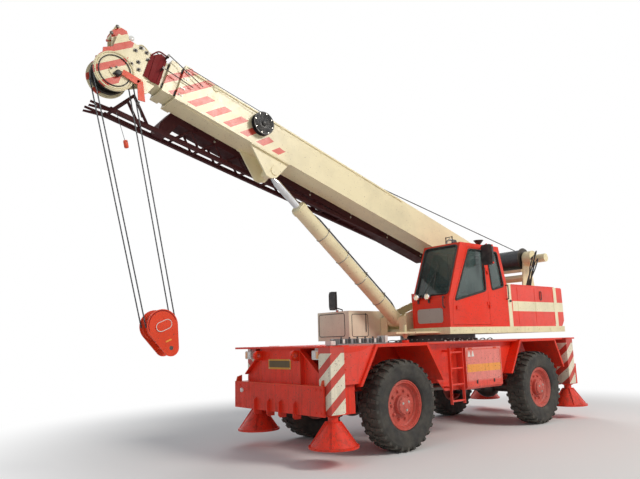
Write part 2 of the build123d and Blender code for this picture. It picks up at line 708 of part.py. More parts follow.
def cab_shell():
    """The cab's walls, roof and floor, hollow, with its windows and doorway cut."""
    y_in = CAB_Y0 + CAB_WALL
    y_out = CAB_Y1 - CAB_WALL
    body = prism_y(CAB_SIDE, CAB_Y0, CAB_Y1)
    body -= prism_y(inset(CAB_SIDE, CAB_WALL), y_in, y_out)
    body -= prism_y(DOOR, y_out - 5, CAB_Y1 + 5)
    body -= prism_y(QUARTER_WINDOW, y_out - 5, CAB_Y1 + 5)
    body -= prism_y(QUARTER_WINDOW, CAB_Y0 - 5, y_in + 5)
    body -= prism_y(RIGHT_WINDOW, CAB_Y0 - 5, y_in + 5)
    through = (-20, CAB_WALL + 30)
    body -= prism_y(slope(CAB_KNEE, CAB_BROW, SCREEN_REACH, through), *SCREEN_Y)
    body -= prism_y(slope(CAB_BACK, CAB_HIP, BACK_REACH, through), *BACK_Y)
    return body + [hinge_half(z, -30) for z in HINGE_Z]


def hinge_half(z, reach):
    """Half a door hinge from height z: a round barrel and a leaf that reaches along X."""
    barrel = rod((HINGE_X, HINGE_Y, z), (HINGE_X, HINGE_Y, z + HINGE_H), HINGE_R)
    return barrel + box(HINGE_X, HINGE_X + reach, CAB_Y1, HINGE_Y, z, z + HINGE_H)


def cab_glass():
    """The fixed panes: windscreen, rear pane, quarter panes and the right-hand pane."""
    mid = (CAB_WALL - GLASS_T) / 2
    depth = (mid, mid + GLASS_T)
    outer = CAB_Y1 - mid
    inner = CAB_Y0 + mid
    return [
        prism_y(slope(CAB_KNEE, CAB_BROW, SCREEN_REACH, depth), *SCREEN_Y),
        prism_y(slope(CAB_BACK, CAB_HIP, BACK_REACH, depth), *BACK_Y),
        prism_y(QUARTER_WINDOW, outer - GLASS_T, outer),
        prism_y(QUARTER_WINDOW, inner, inner + GLASS_T),
        prism_y(RIGHT_WINDOW, inner, inner + GLASS_T),
    ]


def cab_door():
    """The door: a frame with its raked window, handle, hinge halves and the mirror on its top rail."""
    body = prism_y(inset(DOOR, DOOR_GAP), CAB_Y1 - CAB_WALL, CAB_Y1)
    body -= prism_y(DOOR_WINDOW, CAB_Y1 - CAB_WALL - 5, CAB_Y1 + 5)
    grip = box(815, 925, CAB_Y1 - 1, CAB_Y1 + 22, 2150, 2210)
    grip -= box(830, 910, CAB_Y1 + 0.5, CAB_Y1 + 14, 2140, 2220)
    body += grip
    body += [hinge_half(z + HINGE_H + 1, 60) for z in HINGE_Z]
    y = CAB_Y1 + 175
    elbow = (MIRROR_X + 20, y, 3330)
    mirror = box(MIRROR_X, MIRROR_X + 35, y - 115, y + 115, *MIRROR_Z) + rod((MIRROR_X + 20, y, 3280), elbow, 10)
    return body + mirror + rod(elbow, (MIRROR_X + 20, CAB_Y1 - 8, 3252), 10)


def door_glass():
    mid = (CAB_WALL - GLASS_T) / 2
    return prism_y(DOOR_WINDOW, CAB_Y1 - mid - GLASS_T, CAB_Y1 - mid)


def cab_seat():
    """The driver's seat: cushion, backrest and headrest as plain soft solids."""
    cushion = box(-330, 190, SEAT_Y - 240, SEAT_Y + 240, 2280, 2400)
    back = prism_y([(-330, 2401), (-200, 2401), (-300, 3010), (-410, 3010)], SEAT_Y - 230, SEAT_Y + 230)
    rest = prism_y([(-410, 3011), (-310, 3011), (-335, 3170), (-415, 3170)], SEAT_Y - 140, SEAT_Y + 140)
    return [cushion, back, rest]


def cab_console():
    """The seat's pedestal, the side consoles with their levers, and the steering column."""
    pedestal = box(-230, 110, SEAT_Y - 170, SEAT_Y + 170, CAB_FLOOR, 2280)
    consoles = [pedestal]
    for y in (SEAT_Y - 320, SEAT_Y + 245):
        console = box(-250, 240, y, y + 75, 2230, 2470)
        console += box(-60, 60, y, y + 75, CAB_FLOOR, 2231)
        console += rod((190, y + 37, 2460), (205, y + 37, 2640), 13)
        console += Pos(205, y + 37, 2650) * Sphere(26)
        consoles.append(console)
    foot = (800, SEAT_Y, CAB_FLOOR + 30)
    head = (560, SEAT_Y, 2560)
    column = rod(foot, head, 42) + box(700, 900, SEAT_Y - 90, SEAT_Y + 90, CAB_FLOOR, CAB_FLOOR + 60)
    wheel = Plane(origin=head, z_dir=Vector(-240, 0, 665)) * Torus(185, 15)
    spoke = Plane(origin=head, z_dir=Vector(-240, 0, 665)) * Box(360, 40, 14)
    panel = box(640, 700, SEAT_Y - 150, SEAT_Y + 150, 2380, 2520)
    consoles.append(column + wheel + spoke + panel)
    return consoles


def cab_fittings():
    """Driving lamps, the roof's guarded work lamp and its horn, and the right mirror."""
    shapes = []
    for y in (530, 770):
        lamp = rod((CAB_X1 + 8, y, 2390), (CAB_X1 + 62, y, 2390), 50)
        shapes.append(lamp + box(CAB_X1, CAB_X1 + 22, y - 15, y + 15, 2280, 2345))
    lamp = rod((446, 780, 3425), (300, 780, 3425), 58) + box(330, 400, 745, 815, CAB_ROOF, 3372)
    for y in (700, 845):
        lamp += box(445, 460, y, y + 15, CAB_ROOF, 3520)
    for z in (3380, 3440, 3505):
        lamp += box(445, 460, 700, 860, z, z + 12)
    shapes.append(lamp)
    horn = rod((-290, 900, CAB_ROOF), (-290, 900, 3420), 16)
    horn += Pos(-290, 900, 3455) * Cone(28, 95, 90)
    shapes.append(horn)
    arm_y = -500
    x_in, z_in = SIDE_BOX_X[1], 1940
    right = rod((x_in - 6, arm_y, SIDE_BOX_Z1), (x_in - 6, arm_y, SIDE_BOX_Z1 + 30), 10)
    right += rod((x_in - 6, arm_y, SIDE_BOX_Z1 + 25), (x_in + 60, arm_y - 170, z_in + 350), 10)
    right += box(x_in + 45, x_in + 75, arm_y - 260, arm_y - 80, z_in + 290, z_in + 620)
    shapes.append(right)
    return shapes


def rear_body():
    """The machinery housing behind the cab, open over the turret plates, louvred at its sides."""
    t = SHEET_T
    x0 = TAIL_X + WEIGHT_L
    outline = [
        (REAR_X1, CAB_Y1), (x0, CAB_Y1), (x0, -CAB_Y1), (REAR_X1, -CAB_Y1),
        (REAR_X1, -CAB_Y0), (NOTCH_X0, -CAB_Y0), (NOTCH_X0, CAB_Y0), (REAR_X1, CAB_Y0),
    ]
    body = prism_z(outline, BASE_Z1, REAR_TOP)
    low = BASE_Z1 - 1
    for y0, y1 in ((CAB_Y0 + t, CAB_Y1 - t), (-CAB_Y1 + t, -CAB_Y0 - t)):
        body -= box(NOTCH_X0 + 500, REAR_X1 - t, y0, y1, low, REAR_TOP - t)
    body -= box(x0 + t, NOTCH_X0 - t, -CAB_Y1 + t, CAB_Y1 - t, low, REAR_TOP - t)
    return body - louvres(-2200, -1500, -CAB_Y1, REAR_TOP - 420)


def louvres(x0, x1, y, z0):
    """A stack of shallow slots across a side wall."""
    return [box(x0, x1, y - 1, y + 12, z0 + k * 34, z0 + k * 34 + 14) for k in range(LOUVRES)]


def counterweight():
    """The cast weight that closes the tail, with its lower edge cut back."""
    x1 = TAIL_X + WEIGHT_L
    outline = [
        (x1, BASE_Z1), (TAIL_X + 90, BASE_Z1), (TAIL_X, BASE_Z1 + 110), (TAIL_X, REAR_TOP - 30),
        (TAIL_X + 30, REAR_TOP), (x1, REAR_TOP),
    ]
    return prism_y(outline, -CAB_Y1, CAB_Y1)


def engine_block():
    length = 650
    x1 = NOTCH_X0 - 2 * SHEET_T - 20
    return box(x1 - length, x1, -500, 500, BASE_Z1, BASE_Z1 + 650)


def side_box():
    """The box on the right that reaches forward past the cab, with louvres in its inner side."""
    x0, x1 = SIDE_BOX_X
    y0, y1 = SIDE_BOX_Y
    z1 = SIDE_BOX_Z1
    outline = [
        (x0, BASE_Z1), (BASE_X1, BASE_Z1), (BASE_X1, SIDE_BOX_Z0), (x1, SIDE_BOX_Z0), (x1, z1), (x0, z1),
    ]
    body = prism_y(outline, y0, y1)
    return body - louvres(-400, 300, y0, BASE_Z1 + 20)


def winch_frame():
    """Side plates, foot and cross tubes that carry the drum, with the motor on the left."""
    left = DRUM_Y[1] + 30
    right = DRUM_Y[0] - 50
    z0 = REAR_TOP
    z1 = z0 + STAND_FOOT_H
    body = box(DRUM_X - 260, DRUM_X + 260, right - 20, left + 150, z0, z0 + 25)
    body += box(DRUM_X - 200, DRUM_X + 200, left - 10, left + 120, z0, z1)
    foot_half, top_half = 240, 120
    outline = [
        (DRUM_X - foot_half, z0 + 24), (DRUM_X + foot_half, z0 + 24), (DRUM_X + top_half, DRUM_Z),
        (DRUM_X - top_half, DRUM_Z),
    ]
    for y in (right, left):
        body += prism_y(outline, y, y + 30)
        body += bar_y(DRUM_X, DRUM_Z, y, y + 30, 150)
    body += box(DRUM_X + 150, DRUM_X + 200, right + 5, left + 5, 3030, 3090)
    body += bar_y(DRUM_X + 130, 2900, right + 10, left + 10, 75)
    body -= bar_y(DRUM_X, DRUM_Z, right - 40, left + 200, DRUM_BEARING + BORE_FIT)
    gearbox = bar_y(DRUM_X, DRUM_Z, left + 29, left + 190, 165)
    motor = bar_y(DRUM_X, DRUM_Z - 20, left + 180, left + 480, 88)
    return body + gearbox + motor


def winch_drum():
    """The drum with its flanges and its full lay of rope."""
    y0, y1 = DRUM_Y
    core = bar_y(DRUM_X, DRUM_Z, y0 - 50, y1 + 55, DRUM_BEARING)
    drum = bar_y(DRUM_X, DRUM_Z, y0, y1, DRUM_R)
    flanges = [bar_y(DRUM_X, DRUM_Z, y, y + 20, DRUM_RIM) for y in (y0, y1 - 20)]
    return core + drum + flanges


# ---- boom ---------------------------------------------------------------------------------
STEP = BOOM_WALL + SECTION_GAP
SECTIONS = [
    # half width, lower face, upper face
    (BOOM_HALF - k * STEP, BOOM_W0 + k * STEP, BOOM_W1 - k * STEP) for k in range(3)
]


def section(ends, size):
    """A hollow box section, open at both ends."""
    u0, u1 = ends
    half, w0, w1 = size
    t = BOOM_WALL
    return box(u0, u1, -half, half, w0, w1) - box(u0 - 1, u1 + 1, -half + t, half - t, w0 + t, w1 - t)


def collar(u1, size, thick):
    """The stiffening band round a section's open front end."""
    half, w0, w1 = size
    band = box(u1 - COLLAR_L, u1, -half - thick, half + thick, w0 - thick, w1 + thick)
    return band - box(u1 - COLLAR_L - 1, u1 + 1, -half + 2, half - 2, w0 + 2, w1 - 2)


def boom_eye():
    """The rod eye's centre in the boom's own frame."""
    place = Vector(ROD_PIN[0] - PIVOT_X, 0, ROD_PIN[1] - PIVOT_Z).rotate(Axis.Y, BOOM_DEG)
    return place.X, place.Z


def boom_base():
    """The base section with its pivot, cylinder brackets and eye, collar and rope roller."""
    size = SECTIONS[0]
    body = section(BASE_U, size) + collar(BASE_U[1], size, COLLAR_T)
    body += box(5560, BASE_U[1] - COLLAR_L, -150, 150, BOOM_W0 - 8, BOOM_W0 + 1)
    u, w = boom_eye()
    bracket = [
        (u - 230, BOOM_W0 + 2), (u + 540, BOOM_W0 + 2), (u + 120, w - 140), (u + 30, w - 145),
        (u - 70, w - 90),
    ]
    y0 = BRACKET_Y
    plate = prism_y(bracket, y0, y0 + BRACKET_T)
    plate += box(u - 230, u + 540, y0, BOOM_HALF - 4, BOOM_W0 - 14, BOOM_W0 + 1)
    plate += bar_y(u, w, y0 + BRACKET_T - 1, y0 + BRACKET_T + 16, EYE_PIN_R + 30)
    body = body + plate + mirror_y(plate)
    body += bar_y(u, w, -y0 - 5, y0 + 5, EYE_PIN_R)
    body += bar_y(u, w, -72, 72, EYE_R)
    body += bar_y(0, 0, -BOOM_HALF - 6, BOOM_HALF + 6, 2 * PIVOT_R)
    reach = TURRET_Y + TURRET_T + 36
    body += bar_y(0, 0, -reach, reach, PIVOT_R)
    t = BOOM_WALL
    half, w0, w1 = size
    body -= box(BASE_U[0] + 420, BASE_U[1] + 1, -half + t, half - t, w0 + t, w1 - t)
    roller_u = 2840
    fork = prism_y([(-60, 0), (60, 0), (25, 75), (-25, 75)], 30, 42)
    fork = Pos(roller_u, 0, BOOM_W1 - 1) * fork
    roller = bar_y(roller_u, BOOM_W1 + 50, -43, 43, 22)
    return on_boom(body + fork + mirror_y(fork) + roller)


def cable_reel():
    """The load indicator's cable reel on the base section's left side."""
    u, w = 5190, 330
    y = BOOM_HALF
    body = bar_y(u, w, y, y + 30, 60)
    body += bar_y(u, w, y + 28, y + 40, 185)
    body += bar_y(u, w, y + 39, y + 95, 130)
    body += bar_y(u, w, y + 94, y + 106, 185)
    return on_boom(body)


def boom_mid():
    """The middle section with its collar."""
    return on_boom(section(MID_U, SECTIONS[1]) + collar(MID_U[1], SECTIONS[1], SECTION_GAP))


def boom_tip():
    """The top section with the boom head: cheeks, sheave pin and the upper guide bracket."""
    half, w0, w1 = SECTIONS[2]
    u1 = TIP_U[1]
    body = section(TIP_U, SECTIONS[2])
    body -= box(u1 - TIP_CUT, u1 + 1, -half + BOOM_WALL, half - BOOM_WALL, w0 - 1, w0 + BOOM_WALL + 1)
    y0 = half - CHEEK_T + 4
    cheek = prism_y(
        [(u1 - 200, w0), (HEAD_U - 150, HEAD_W - 100), (HEAD_U + 150, HEAD_W - 100), (HEAD_U + 240, w0 + 100),
         (HEAD_U + 130, 235), (HEAD_U + 130, w1), (u1 - 200, w1)], y0, y0 + CHEEK_T)
    cheek += bar_y(HEAD_U, HEAD_W, y0, y0 + CHEEK_T, CHEEK_R)
    groove = bar_y(HEAD_U, HEAD_W, y0 + CHEEK_T - 8, y0 + CHEEK_T + 1, CHEEK_R - 24)
    groove -= bar_y(HEAD_U, HEAD_W, y0, y0 + CHEEK_T + 2, CHEEK_R - 40)
    groove -= box(HEAD_U - 500, HEAD_U + 500, 0, 500, HEAD_W + 60, HEAD_W + 500)
    cheek -= groove
    cheek += bar_y(HEAD_U, HEAD_W, y0 + CHEEK_T - 1, y0 + CHEEK_T + 14, 75)
    horn = prism_y([(HEAD_U - 120, w1 - 30), (HEAD_U + 117, 235), (HEAD_U + 205, 465), (HEAD_U + 185, 600),
                    (HEAD_U + 30, 600)], 70, 90)
    body = body + cheek + mirror_y(cheek) + horn + mirror_y(horn)
    body += box(u1 - 10, HEAD_U + 110, -y0 - 1, y0 + 1, w1 - 30, w1 - 12)
    for u, w in ((HEAD_U + 165, 560), (HEAD_U + 175, 440)):
        body += bar_y(u, w, -125, 125, 24)
    body += bar_y(HEAD_U, HEAD_W, -half, half, HEAD_PIN)
    ear_r = 38
    ear = prism_y([(-90, 75), (90, 75), (ear_r, -60), (-ear_r, -60)], half - 12, half + 6)
    ear += bar_y(0, -60, half - 12, half + 6, ear_r)
    ear = Pos(u1 - 190, 0, -60) * ear
    return on_boom(body + ear)


def grooved_wheel(u, w, y, r, bore):
    """A sheave with a rope groove."""
    rim_h = 34
    outline = [
        (bore, -SHEAVE_HALF), (r, -SHEAVE_HALF), (r, -SHEAVE_HALF + 8), (r - rim_h, -4), (r - rim_h, 4),
        (r, SHEAVE_HALF - 8), (r, SHEAVE_HALF), (bore, SHEAVE_HALF),
    ]
    wheel = revolve(make_face(Polyline(*outline, close=True)), axis=Axis.Y)
    return Pos(u, y, w) * wheel


def head_sheaves():
    """The two grooved sheaves on the head's pin."""
    return [on_boom(grooved_wheel(HEAD_U, HEAD_W, y, SHEAVE_R, HEAD_PIN + 1)) for y in (-SHEAVE_Y, SHEAVE_Y)]


def jib_floor(u):
    """Height of the jib's lower chord at u."""
    return JIB_TIP_W + (JIB_U[1] - u) * JIB_SLOPE


def jib_strut(a, wa, b, wb, y, r):
    """A round lattice bar between two (u, w) points in the plane y."""
    return rod((a, y, wa), (b, y, wb), r)


def jib_frame(y):
    """One side of the jib: its lower chord, the lattice, and the forked tip."""
    t = JIB_TUBE
    u1 = JIB_U[1]
    start = 1500
    mid = y + t / 2
    low, high = jib_floor(start), jib_floor(u1)
    chord = [(start, low), (u1, high), (u1, high + t), (start, low + t)]
    body = prism_y(chord, y, y + t)
    bay = (JIB_BOX_U1 - 140 - JIB_LATTICE_U0) / JIB_BAYS
    for k in range(JIB_BAYS):
        a = JIB_LATTICE_U0 + k * bay
        b = a + bay / 2
        c = a + bay
        body += jib_strut(a, jib_floor(a) + t / 2, b, JIB_ROOF + 15, mid, JIB_BAR)
        body += jib_strut(b, JIB_ROOF + 15, c, jib_floor(c) + t / 2, mid, JIB_BAR)
    for lower in (-400, -465):
        prong = [(u1 - 60, high + 5), (7500, lower), (7500, lower + 30), (u1 - 60, high + t - 5)]
        body += prism_y(prong, y + 22, y + 38)
    peak_u, peak_w = JIB_PEAK
    for foot in (u1 - 40, 6640):
        body += jib_strut(peak_u, peak_w, foot, jib_floor(foot) + t / 2, mid, JIB_BAR + 5)
    return body


def jib():
    """The stowed lattice jib: a box member, two lower chords, and the lattice between them."""
    t = JIB_TUBE
    y0, y1 = JIB_Y
    nose_u = 6500
    outline = [
        (JIB_U[0], JIB_ROOF), (JIB_U[0], JIB_TOP), (JIB_BOX_U1, JIB_TOP - 55), (nose_u, -170),
        (nose_u, jib_floor(nose_u) + 20), (6330, jib_floor(6330) + 20), (JIB_BOX_U1 - 140, JIB_ROOF),
    ]
    body = prism_y(outline, y0, y1) + jib_frame(y0) + jib_frame(y1 - t)
    bay = (JIB_BOX_U1 - 140 - JIB_LATTICE_U0) / JIB_BAYS
    ties = [(u, jib_floor(u) + t / 2) for u in (JIB_LATTICE_U0 + k * bay for k in range(JIB_BAYS))]
    ties += [JIB_PEAK, (JIB_U[1] - 40, jib_floor(JIB_U[1] - 40) + t / 2)]
    for u, w in ties:
        body += rod((u, y0 + t / 2, w), (u, y1 - t / 2, w), JIB_BAR)
    for u in (1700, 5900):
        body += box(u, u + 80, y1 - 1, -BOOM_HALF, 0, 60)
    return on_boom(body)


# ---- lift cylinder ------------------------------------------------------------------------
def lift_axis():
    """The foot pin, the direction to the rod's eye, and the distance between them."""
    a = Vector(FOOT_PIN[0], 0, FOOT_PIN[1])
    b = Vector(ROD_PIN[0], 0, ROD_PIN[1])
    return a, (b - a).normalized(), (b - a).length


def on_lift(start, end, r):
    """A round bar along the cylinder, between two distances from the foot pin."""
    a, d, _ = lift_axis()
    return rod(tuple(a + d * start), tuple(a + d * end), r)


def lift_barrel():
    """The barrel with its foot eye, gland and oil pipe."""
    eye_half = FLANGE_IN - 8
    body = on_lift(60, BARREL_L, BARREL_R) + on_lift(BARREL_L - GLAND_L, BARREL_L - 30, BARREL_R + 12)
    body += bar_y(*FOOT_PIN, -eye_half, eye_half, FOOT_EYE_R)
    body -= on_lift(BARREL_BASE, BARREL_L - GLAND_L, BARREL_R - BARREL_WALL)
    body -= on_lift(BARREL_L - GLAND_L - 1, BARREL_L + 1, ROD_R + ROD_GAP)
    body -= bar_y(*FOOT_PIN, -eye_half - 1, eye_half + 1, FOOT_PIN_R + BORE_FIT)
    return body


def lift_rod():
    """The chromed rod with its piston, narrowed towards the eye."""
    foot, way, length = lift_axis()
    neck = length - ROD_TAPER
    taper = ROD_TAPER - EYE_GAP
    body = on_lift(ROD_START, neck, ROD_R)
    body += Plane(origin=foot + way * (neck + taper / 2), z_dir=way) * Cone(ROD_R, ROD_END_R, taper)
    return body + on_lift(ROD_START, ROD_START + PISTON_L, BARREL_R - BARREL_WALL - ROD_GAP)


# ---- hoist --------------------------------------------------------------------------------
def hang_plane():
    """A frame at the head sheave's pin whose -Z runs down along the falls."""
    pin = on_boom(Pos(HEAD_U, 0, HEAD_W) * Sphere(1)).center()
    return Pos(pin.X, 0, pin.Z) * Rot(0, LEAN_DEG, 0)


def block_plane():
    """A frame at the block's pin whose -Z runs down to its trunnion."""
    return hang_plane() * Pos(0, 0, -FALLS_L) * Rot(0, BLOCK_TILT, 0)


def falls():
    """Four rope falls between the head sheaves and the hook block."""
    top = SHEAVE_R + ROPE_R + ROPE_GAP
    low = BLOCK_SHEAVE_R + ROPE_R + ROPE_GAP
    shapes = []
    for y in (-SHEAVE_Y, SHEAVE_Y):
        for way in (1, -1):
            shapes.append(hang_plane() * rod((way * top, y, -20), (way * low, y, -FALLS_L + 20), ROPE_R))
    return shapes


def hull(r0, r1, drop, y0, y1):
    """Two discs, one under the other, and the plate that wraps them."""
    upper = Pos(0, 0) * Circle(r0)
    lower = Pos(0, -drop) * Circle(r1)
    face = make_hull(upper.edges() + lower.edges())
    return Pos(0, y1, 0) * extrude(Plane.XZ * face, y1 - y0, dir=(0, -1, 0))


def hook_block():
    """Two wrapped cheeks on the sheave pin and the trunnion, with the block's sheaves."""
    body = None
    t = 20
    for y0 in (-BLOCK_HALF, BLOCK_HALF - t):
        cheek = hull(BLOCK_R, BLOCK_NOSE_R, BLOCK_DROP, y0, y0 + t)
        body = cheek if body is None else body + cheek
    body += bar_y(0, 0, -BLOCK_HALF - 8, BLOCK_HALF + 8, 42)
    for y in (-SHEAVE_Y, SHEAVE_Y):
        body += grooved_wheel(0, 0, y, BLOCK_SHEAVE_R, 41)
    for z in (-BLOCK_DROP + 35, -BLOCK_DROP + 110):
        body += bar_y(BLOCK_NOSE_R - 35, z, -BLOCK_HALF + 1, BLOCK_HALF - 1, 18)
    for side in (1, -1):
        seat = bar_y(0, -BLOCK_DROP, side * 62, side * (BLOCK_HALF - 1), TRUNNION_R + 22)
        body += seat - bar_y(0, -BLOCK_DROP, side * 50, side * BLOCK_HALF, TRUNNION_R + BORE_FIT)
    body -= bar_y(0, -BLOCK_DROP, -BLOCK_HALF, BLOCK_HALF, TRUNNION_R + BORE_FIT)
    return block_plane() * body


def hook():
    """The forged hook on its trunnion, folded up between the block's sheaves."""
    body = bar_y(0, 0, -BLOCK_HALF + 2, BLOCK_HALF - 2, TRUNNION_R)
    body += bar_y(0, 0, -40, 40, TRUNNION_R + 16)
    body += rod((0, 0, 0), (0, 0, HOOK_LENGTH - HOOK_R + 8), HOOK_SHANK)
    bowl = Pos(0, 0, HOOK_LENGTH) * Rot(90, 0, 0) * Torus(HOOK_R, HOOK_BAR)
    bowl -= box(HOOK_SHANK, 2 * HOOK_R, -HOOK_R, HOOK_R, 0, HOOK_LENGTH - 8)
    body += bowl
    return trunnion_place() * Rot(0, -HOOK_DEG, 0) * body


def trunnion_place():
    centre = (block_plane() * Pos(0, 0, -BLOCK_DROP) * Sphere(1)).center()
    return Pos(centre.X, 0, centre.Z) * Rot(0, LEAN_DEG, 0)


# ---- assembly -----------------------------------------------------------------------------
CORNERS = (
    # name, axle x, side
    ("fl", FRONT_AXLE_X, 1), ("fr", FRONT_AXLE_X, -1), ("rl", REAR_AXLE_X, 1), ("rr", REAR_AXLE_X, -1),
)
JACKS = (
    # name, outrigger box x, side
    ("fl", FRONT_BOX_X, 1), ("fr", FRONT_BOX_X, -1), ("rl", REAR_BOX_X, 1), ("rr", REAR_BOX_X, -1),
)

keep("carrier_frame", carrier_frame())
keep("front_outrigger_box", outrigger_box(FRONT_BOX_X))
keep("rear_outrigger_box", outrigger_box(REAR_BOX_X))
keep("front_panel", *front_panel())
keep("rear_panel", rear_panel())
keep("carrier_lamps", *carrier_lamps())
keep("deck", deck())
keep("fenders", *fenders())
keep("side_panels", *side_panels())
keep("valve_bank", valve_bank())
keep("front_axle", axle(FRONT_AXLE_X, -1))
keep("rear_axle", axle(REAR_AXLE_X, 1))
keep("driveline", driveline())
keep("slew_ring", slew_ring())
for name, x, side in CORNERS:
    keep("knuckle_" + name, knuckle(x, side))
    keep("rim_" + name, rim(x, side))
    keep("tyre_" + name, tyre(x, side))
for name, x, side in JACKS:
    keep("outrigger_beam_" + name, outrigger_beam(x, side))
    keep("jack_leg_" + name, jack_leg(x, side))
keep("turret_frame", turret_frame())
keep("cab_shell", cab_shell())
keep("cab_glass", *cab_glass())
keep("cab_door", cab_door())
keep("door_glass", door_glass())
keep("cab_seat", *cab_seat())
keep("cab_console", *cab_console())
keep("cab_fittings", *cab_fittings())
keep("rear_body", rear_body())
keep("counterweight", counterweight())
keep("engine_block", engine_block())
keep("side_box", side_box())
keep("winch_frame", winch_frame())
keep("winch_drum", winch_drum())
keep("boom_base", boom_base())
keep("cable_reel", cable_reel())
keep("boom_mid", boom_mid())
keep("boom_tip", boom_tip())
keep("head_sheaves", *head_sheaves())
keep("jib", jib())
keep("lift_barrel", lift_barrel())
keep("lift_rod", lift_rod())
keep("hoist_falls", *falls())
keep("hook_block", hook_block())
keep("hook", hook())

os.makedirs("parts", exist_ok=True)
for name, shapes in PARTS.items():
    solids = [s for shape in shapes for s in shape.solids()]
    whole = Compound(children=solids) if len(solids) > 1 else solids[0]
    export_step(whole, f"parts/{name}.step")
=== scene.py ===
import json
import math
import bpy
import bmesh
from mathutils import Matrix, Vector


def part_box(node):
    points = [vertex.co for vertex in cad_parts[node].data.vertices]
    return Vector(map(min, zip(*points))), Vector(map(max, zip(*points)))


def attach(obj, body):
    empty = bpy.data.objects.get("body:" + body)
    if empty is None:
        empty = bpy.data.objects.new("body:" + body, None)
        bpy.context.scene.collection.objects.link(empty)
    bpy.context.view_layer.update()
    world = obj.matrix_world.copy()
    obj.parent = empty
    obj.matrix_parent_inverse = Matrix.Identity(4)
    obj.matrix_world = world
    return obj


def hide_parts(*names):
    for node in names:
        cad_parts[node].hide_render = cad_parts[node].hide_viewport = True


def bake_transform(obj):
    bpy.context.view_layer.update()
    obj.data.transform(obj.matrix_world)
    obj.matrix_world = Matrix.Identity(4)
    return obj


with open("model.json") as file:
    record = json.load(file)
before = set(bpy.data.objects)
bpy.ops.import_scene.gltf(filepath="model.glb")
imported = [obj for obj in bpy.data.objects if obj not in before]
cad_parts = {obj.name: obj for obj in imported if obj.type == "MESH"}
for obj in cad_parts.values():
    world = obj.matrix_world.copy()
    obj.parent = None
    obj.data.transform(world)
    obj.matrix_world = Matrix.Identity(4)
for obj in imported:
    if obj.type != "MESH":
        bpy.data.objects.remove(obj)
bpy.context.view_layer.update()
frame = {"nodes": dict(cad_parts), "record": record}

NODES = frame["nodes"]
RECORD = frame["record"]
JOINTS = {j["name"]: j for j in RECORD["behaviour"]["joints"]}

# ---- the crane's own frames ------------------------------------------------------------------
X = Vector((1, 0, 0))
Y = Vector((0, 1, 0))
Z = Vector((0, 0, 1))
PIVOT = Vector(JOINTS["boom_lift"]["pos_m"])
ALONG = Vector(JOINTS["telescope"]["axis"])          # up the boom
SQUARE = Vector((-ALONG.z, 0, ALONG.x))              # out of the boom's roof
BOOM_ANGLE = math.atan2(ALONG.z, ALONG.x)
FOOT = Vector(JOINTS["lift_barrel_tilt"]["pos_m"])
LIFT = Vector(JOINTS["lift_rod_stroke"]["axis"])
LIFT_OUT = Vector((-LIFT.z, 0, LIFT.x))
HEAD = Vector(JOINTS["falls_hang"]["pos_m"])
FALLS = -Vector(JOINTS["hoist"]["axis"])             # down the rope falls
DRUM = Vector(JOINTS["winch_turn"]["pos_m"])
CORNERS = ("fl", "fr", "rl", "rr")
SIDES = ((1, "left"), (-1, "right"))


def boom(u, y, w):
    """A place on the raised boom: u along it, w square to it, from its pivot."""
    return PIVOT + ALONG * u + Y * y + SQUARE * w


def side_of(corner):
    return 1 if corner[1] == "l" else -1


def around(count, start=0.0):
    """Angles at equal steps round a full turn."""
    return [start + 2 * math.pi * k / count for k in range(count)]


def circle(centre, across, up, r, count, start=0.0):
    """Places at equal steps round a circle that lies on two directions."""
    centre = Vector(centre)
    return [centre + (across * math.cos(a) + up * math.sin(a)) * r for a in around(count, start)]


# ---- colours, linear -------------------------------------------------------------------------
RED = (0.82, 0.026, 0.003)
CREAM = (0.86, 0.76, 0.48)
RIM_RED = (0.60, 0.075, 0.050)
# MAROON: the jib's maroon paint, made near black as painted shade of the boom above it
MAROON = (0.055, 0.004, 0.006)
MAROON_EDGE = (0.20, 0.008, 0.010)
WHITE = (0.80, 0.78, 0.70)
ORANGE = (0.90, 0.33, 0.03)
PLATE_YELLOW = (0.62, 0.30, 0.03)
PANEL_GREY = (0.42, 0.38, 0.35)
DIRT = (0.060, 0.042, 0.028)
PRIMER = (0.16, 0.055, 0.035)
BLACK = (0.014, 0.014, 0.015)
GLASS_TINT = (0.05, 0.085, 0.08)


# ---- material building -----------------------------------------------------------------------
class Nodes:
    """A node tree under construction, with short calls for its nodes."""

    def __init__(self, tree):
        self.tree = tree

    def node(self, kind, **settings):
        made = self.tree.nodes.new(kind)
        for key, value in settings.items():
            setattr(made, key, value)
        return made

    def link(self, a, b):
        self.tree.links.new(a, b)

    def feed(self, socket, value):
        """Link an output, or write a plain value, into a socket."""
        if hasattr(value, "links"):
            self.link(value, socket)
        elif isinstance(value, tuple) and len(value) == 3 and len(socket.default_value) == 4:
            socket.default_value = (*value, 1)
        else:
            socket.default_value = value

    def filled(self, made, *values, **labelled):
        """Feed a node's inputs, in order or by label, and give its first output."""
        for socket, value in zip(made.inputs, values):
            self.feed(socket, value)
        for label, value in labelled.items():
            self.feed(made.inputs[label.replace("_", " ")], value)
        return made.outputs[0]

    def maths(self, work, a, b=0.0):
        return self.filled(self.node("ShaderNodeMath", operation=work), a, b)

    def shade(self, output, share, one, other):
        """End the tree in two shaders, mixed by share."""
        mixed = self.filled(self.node("ShaderNodeMixShader"), share, one, other)
        self.link(mixed, self.node(output).inputs["Surface"])


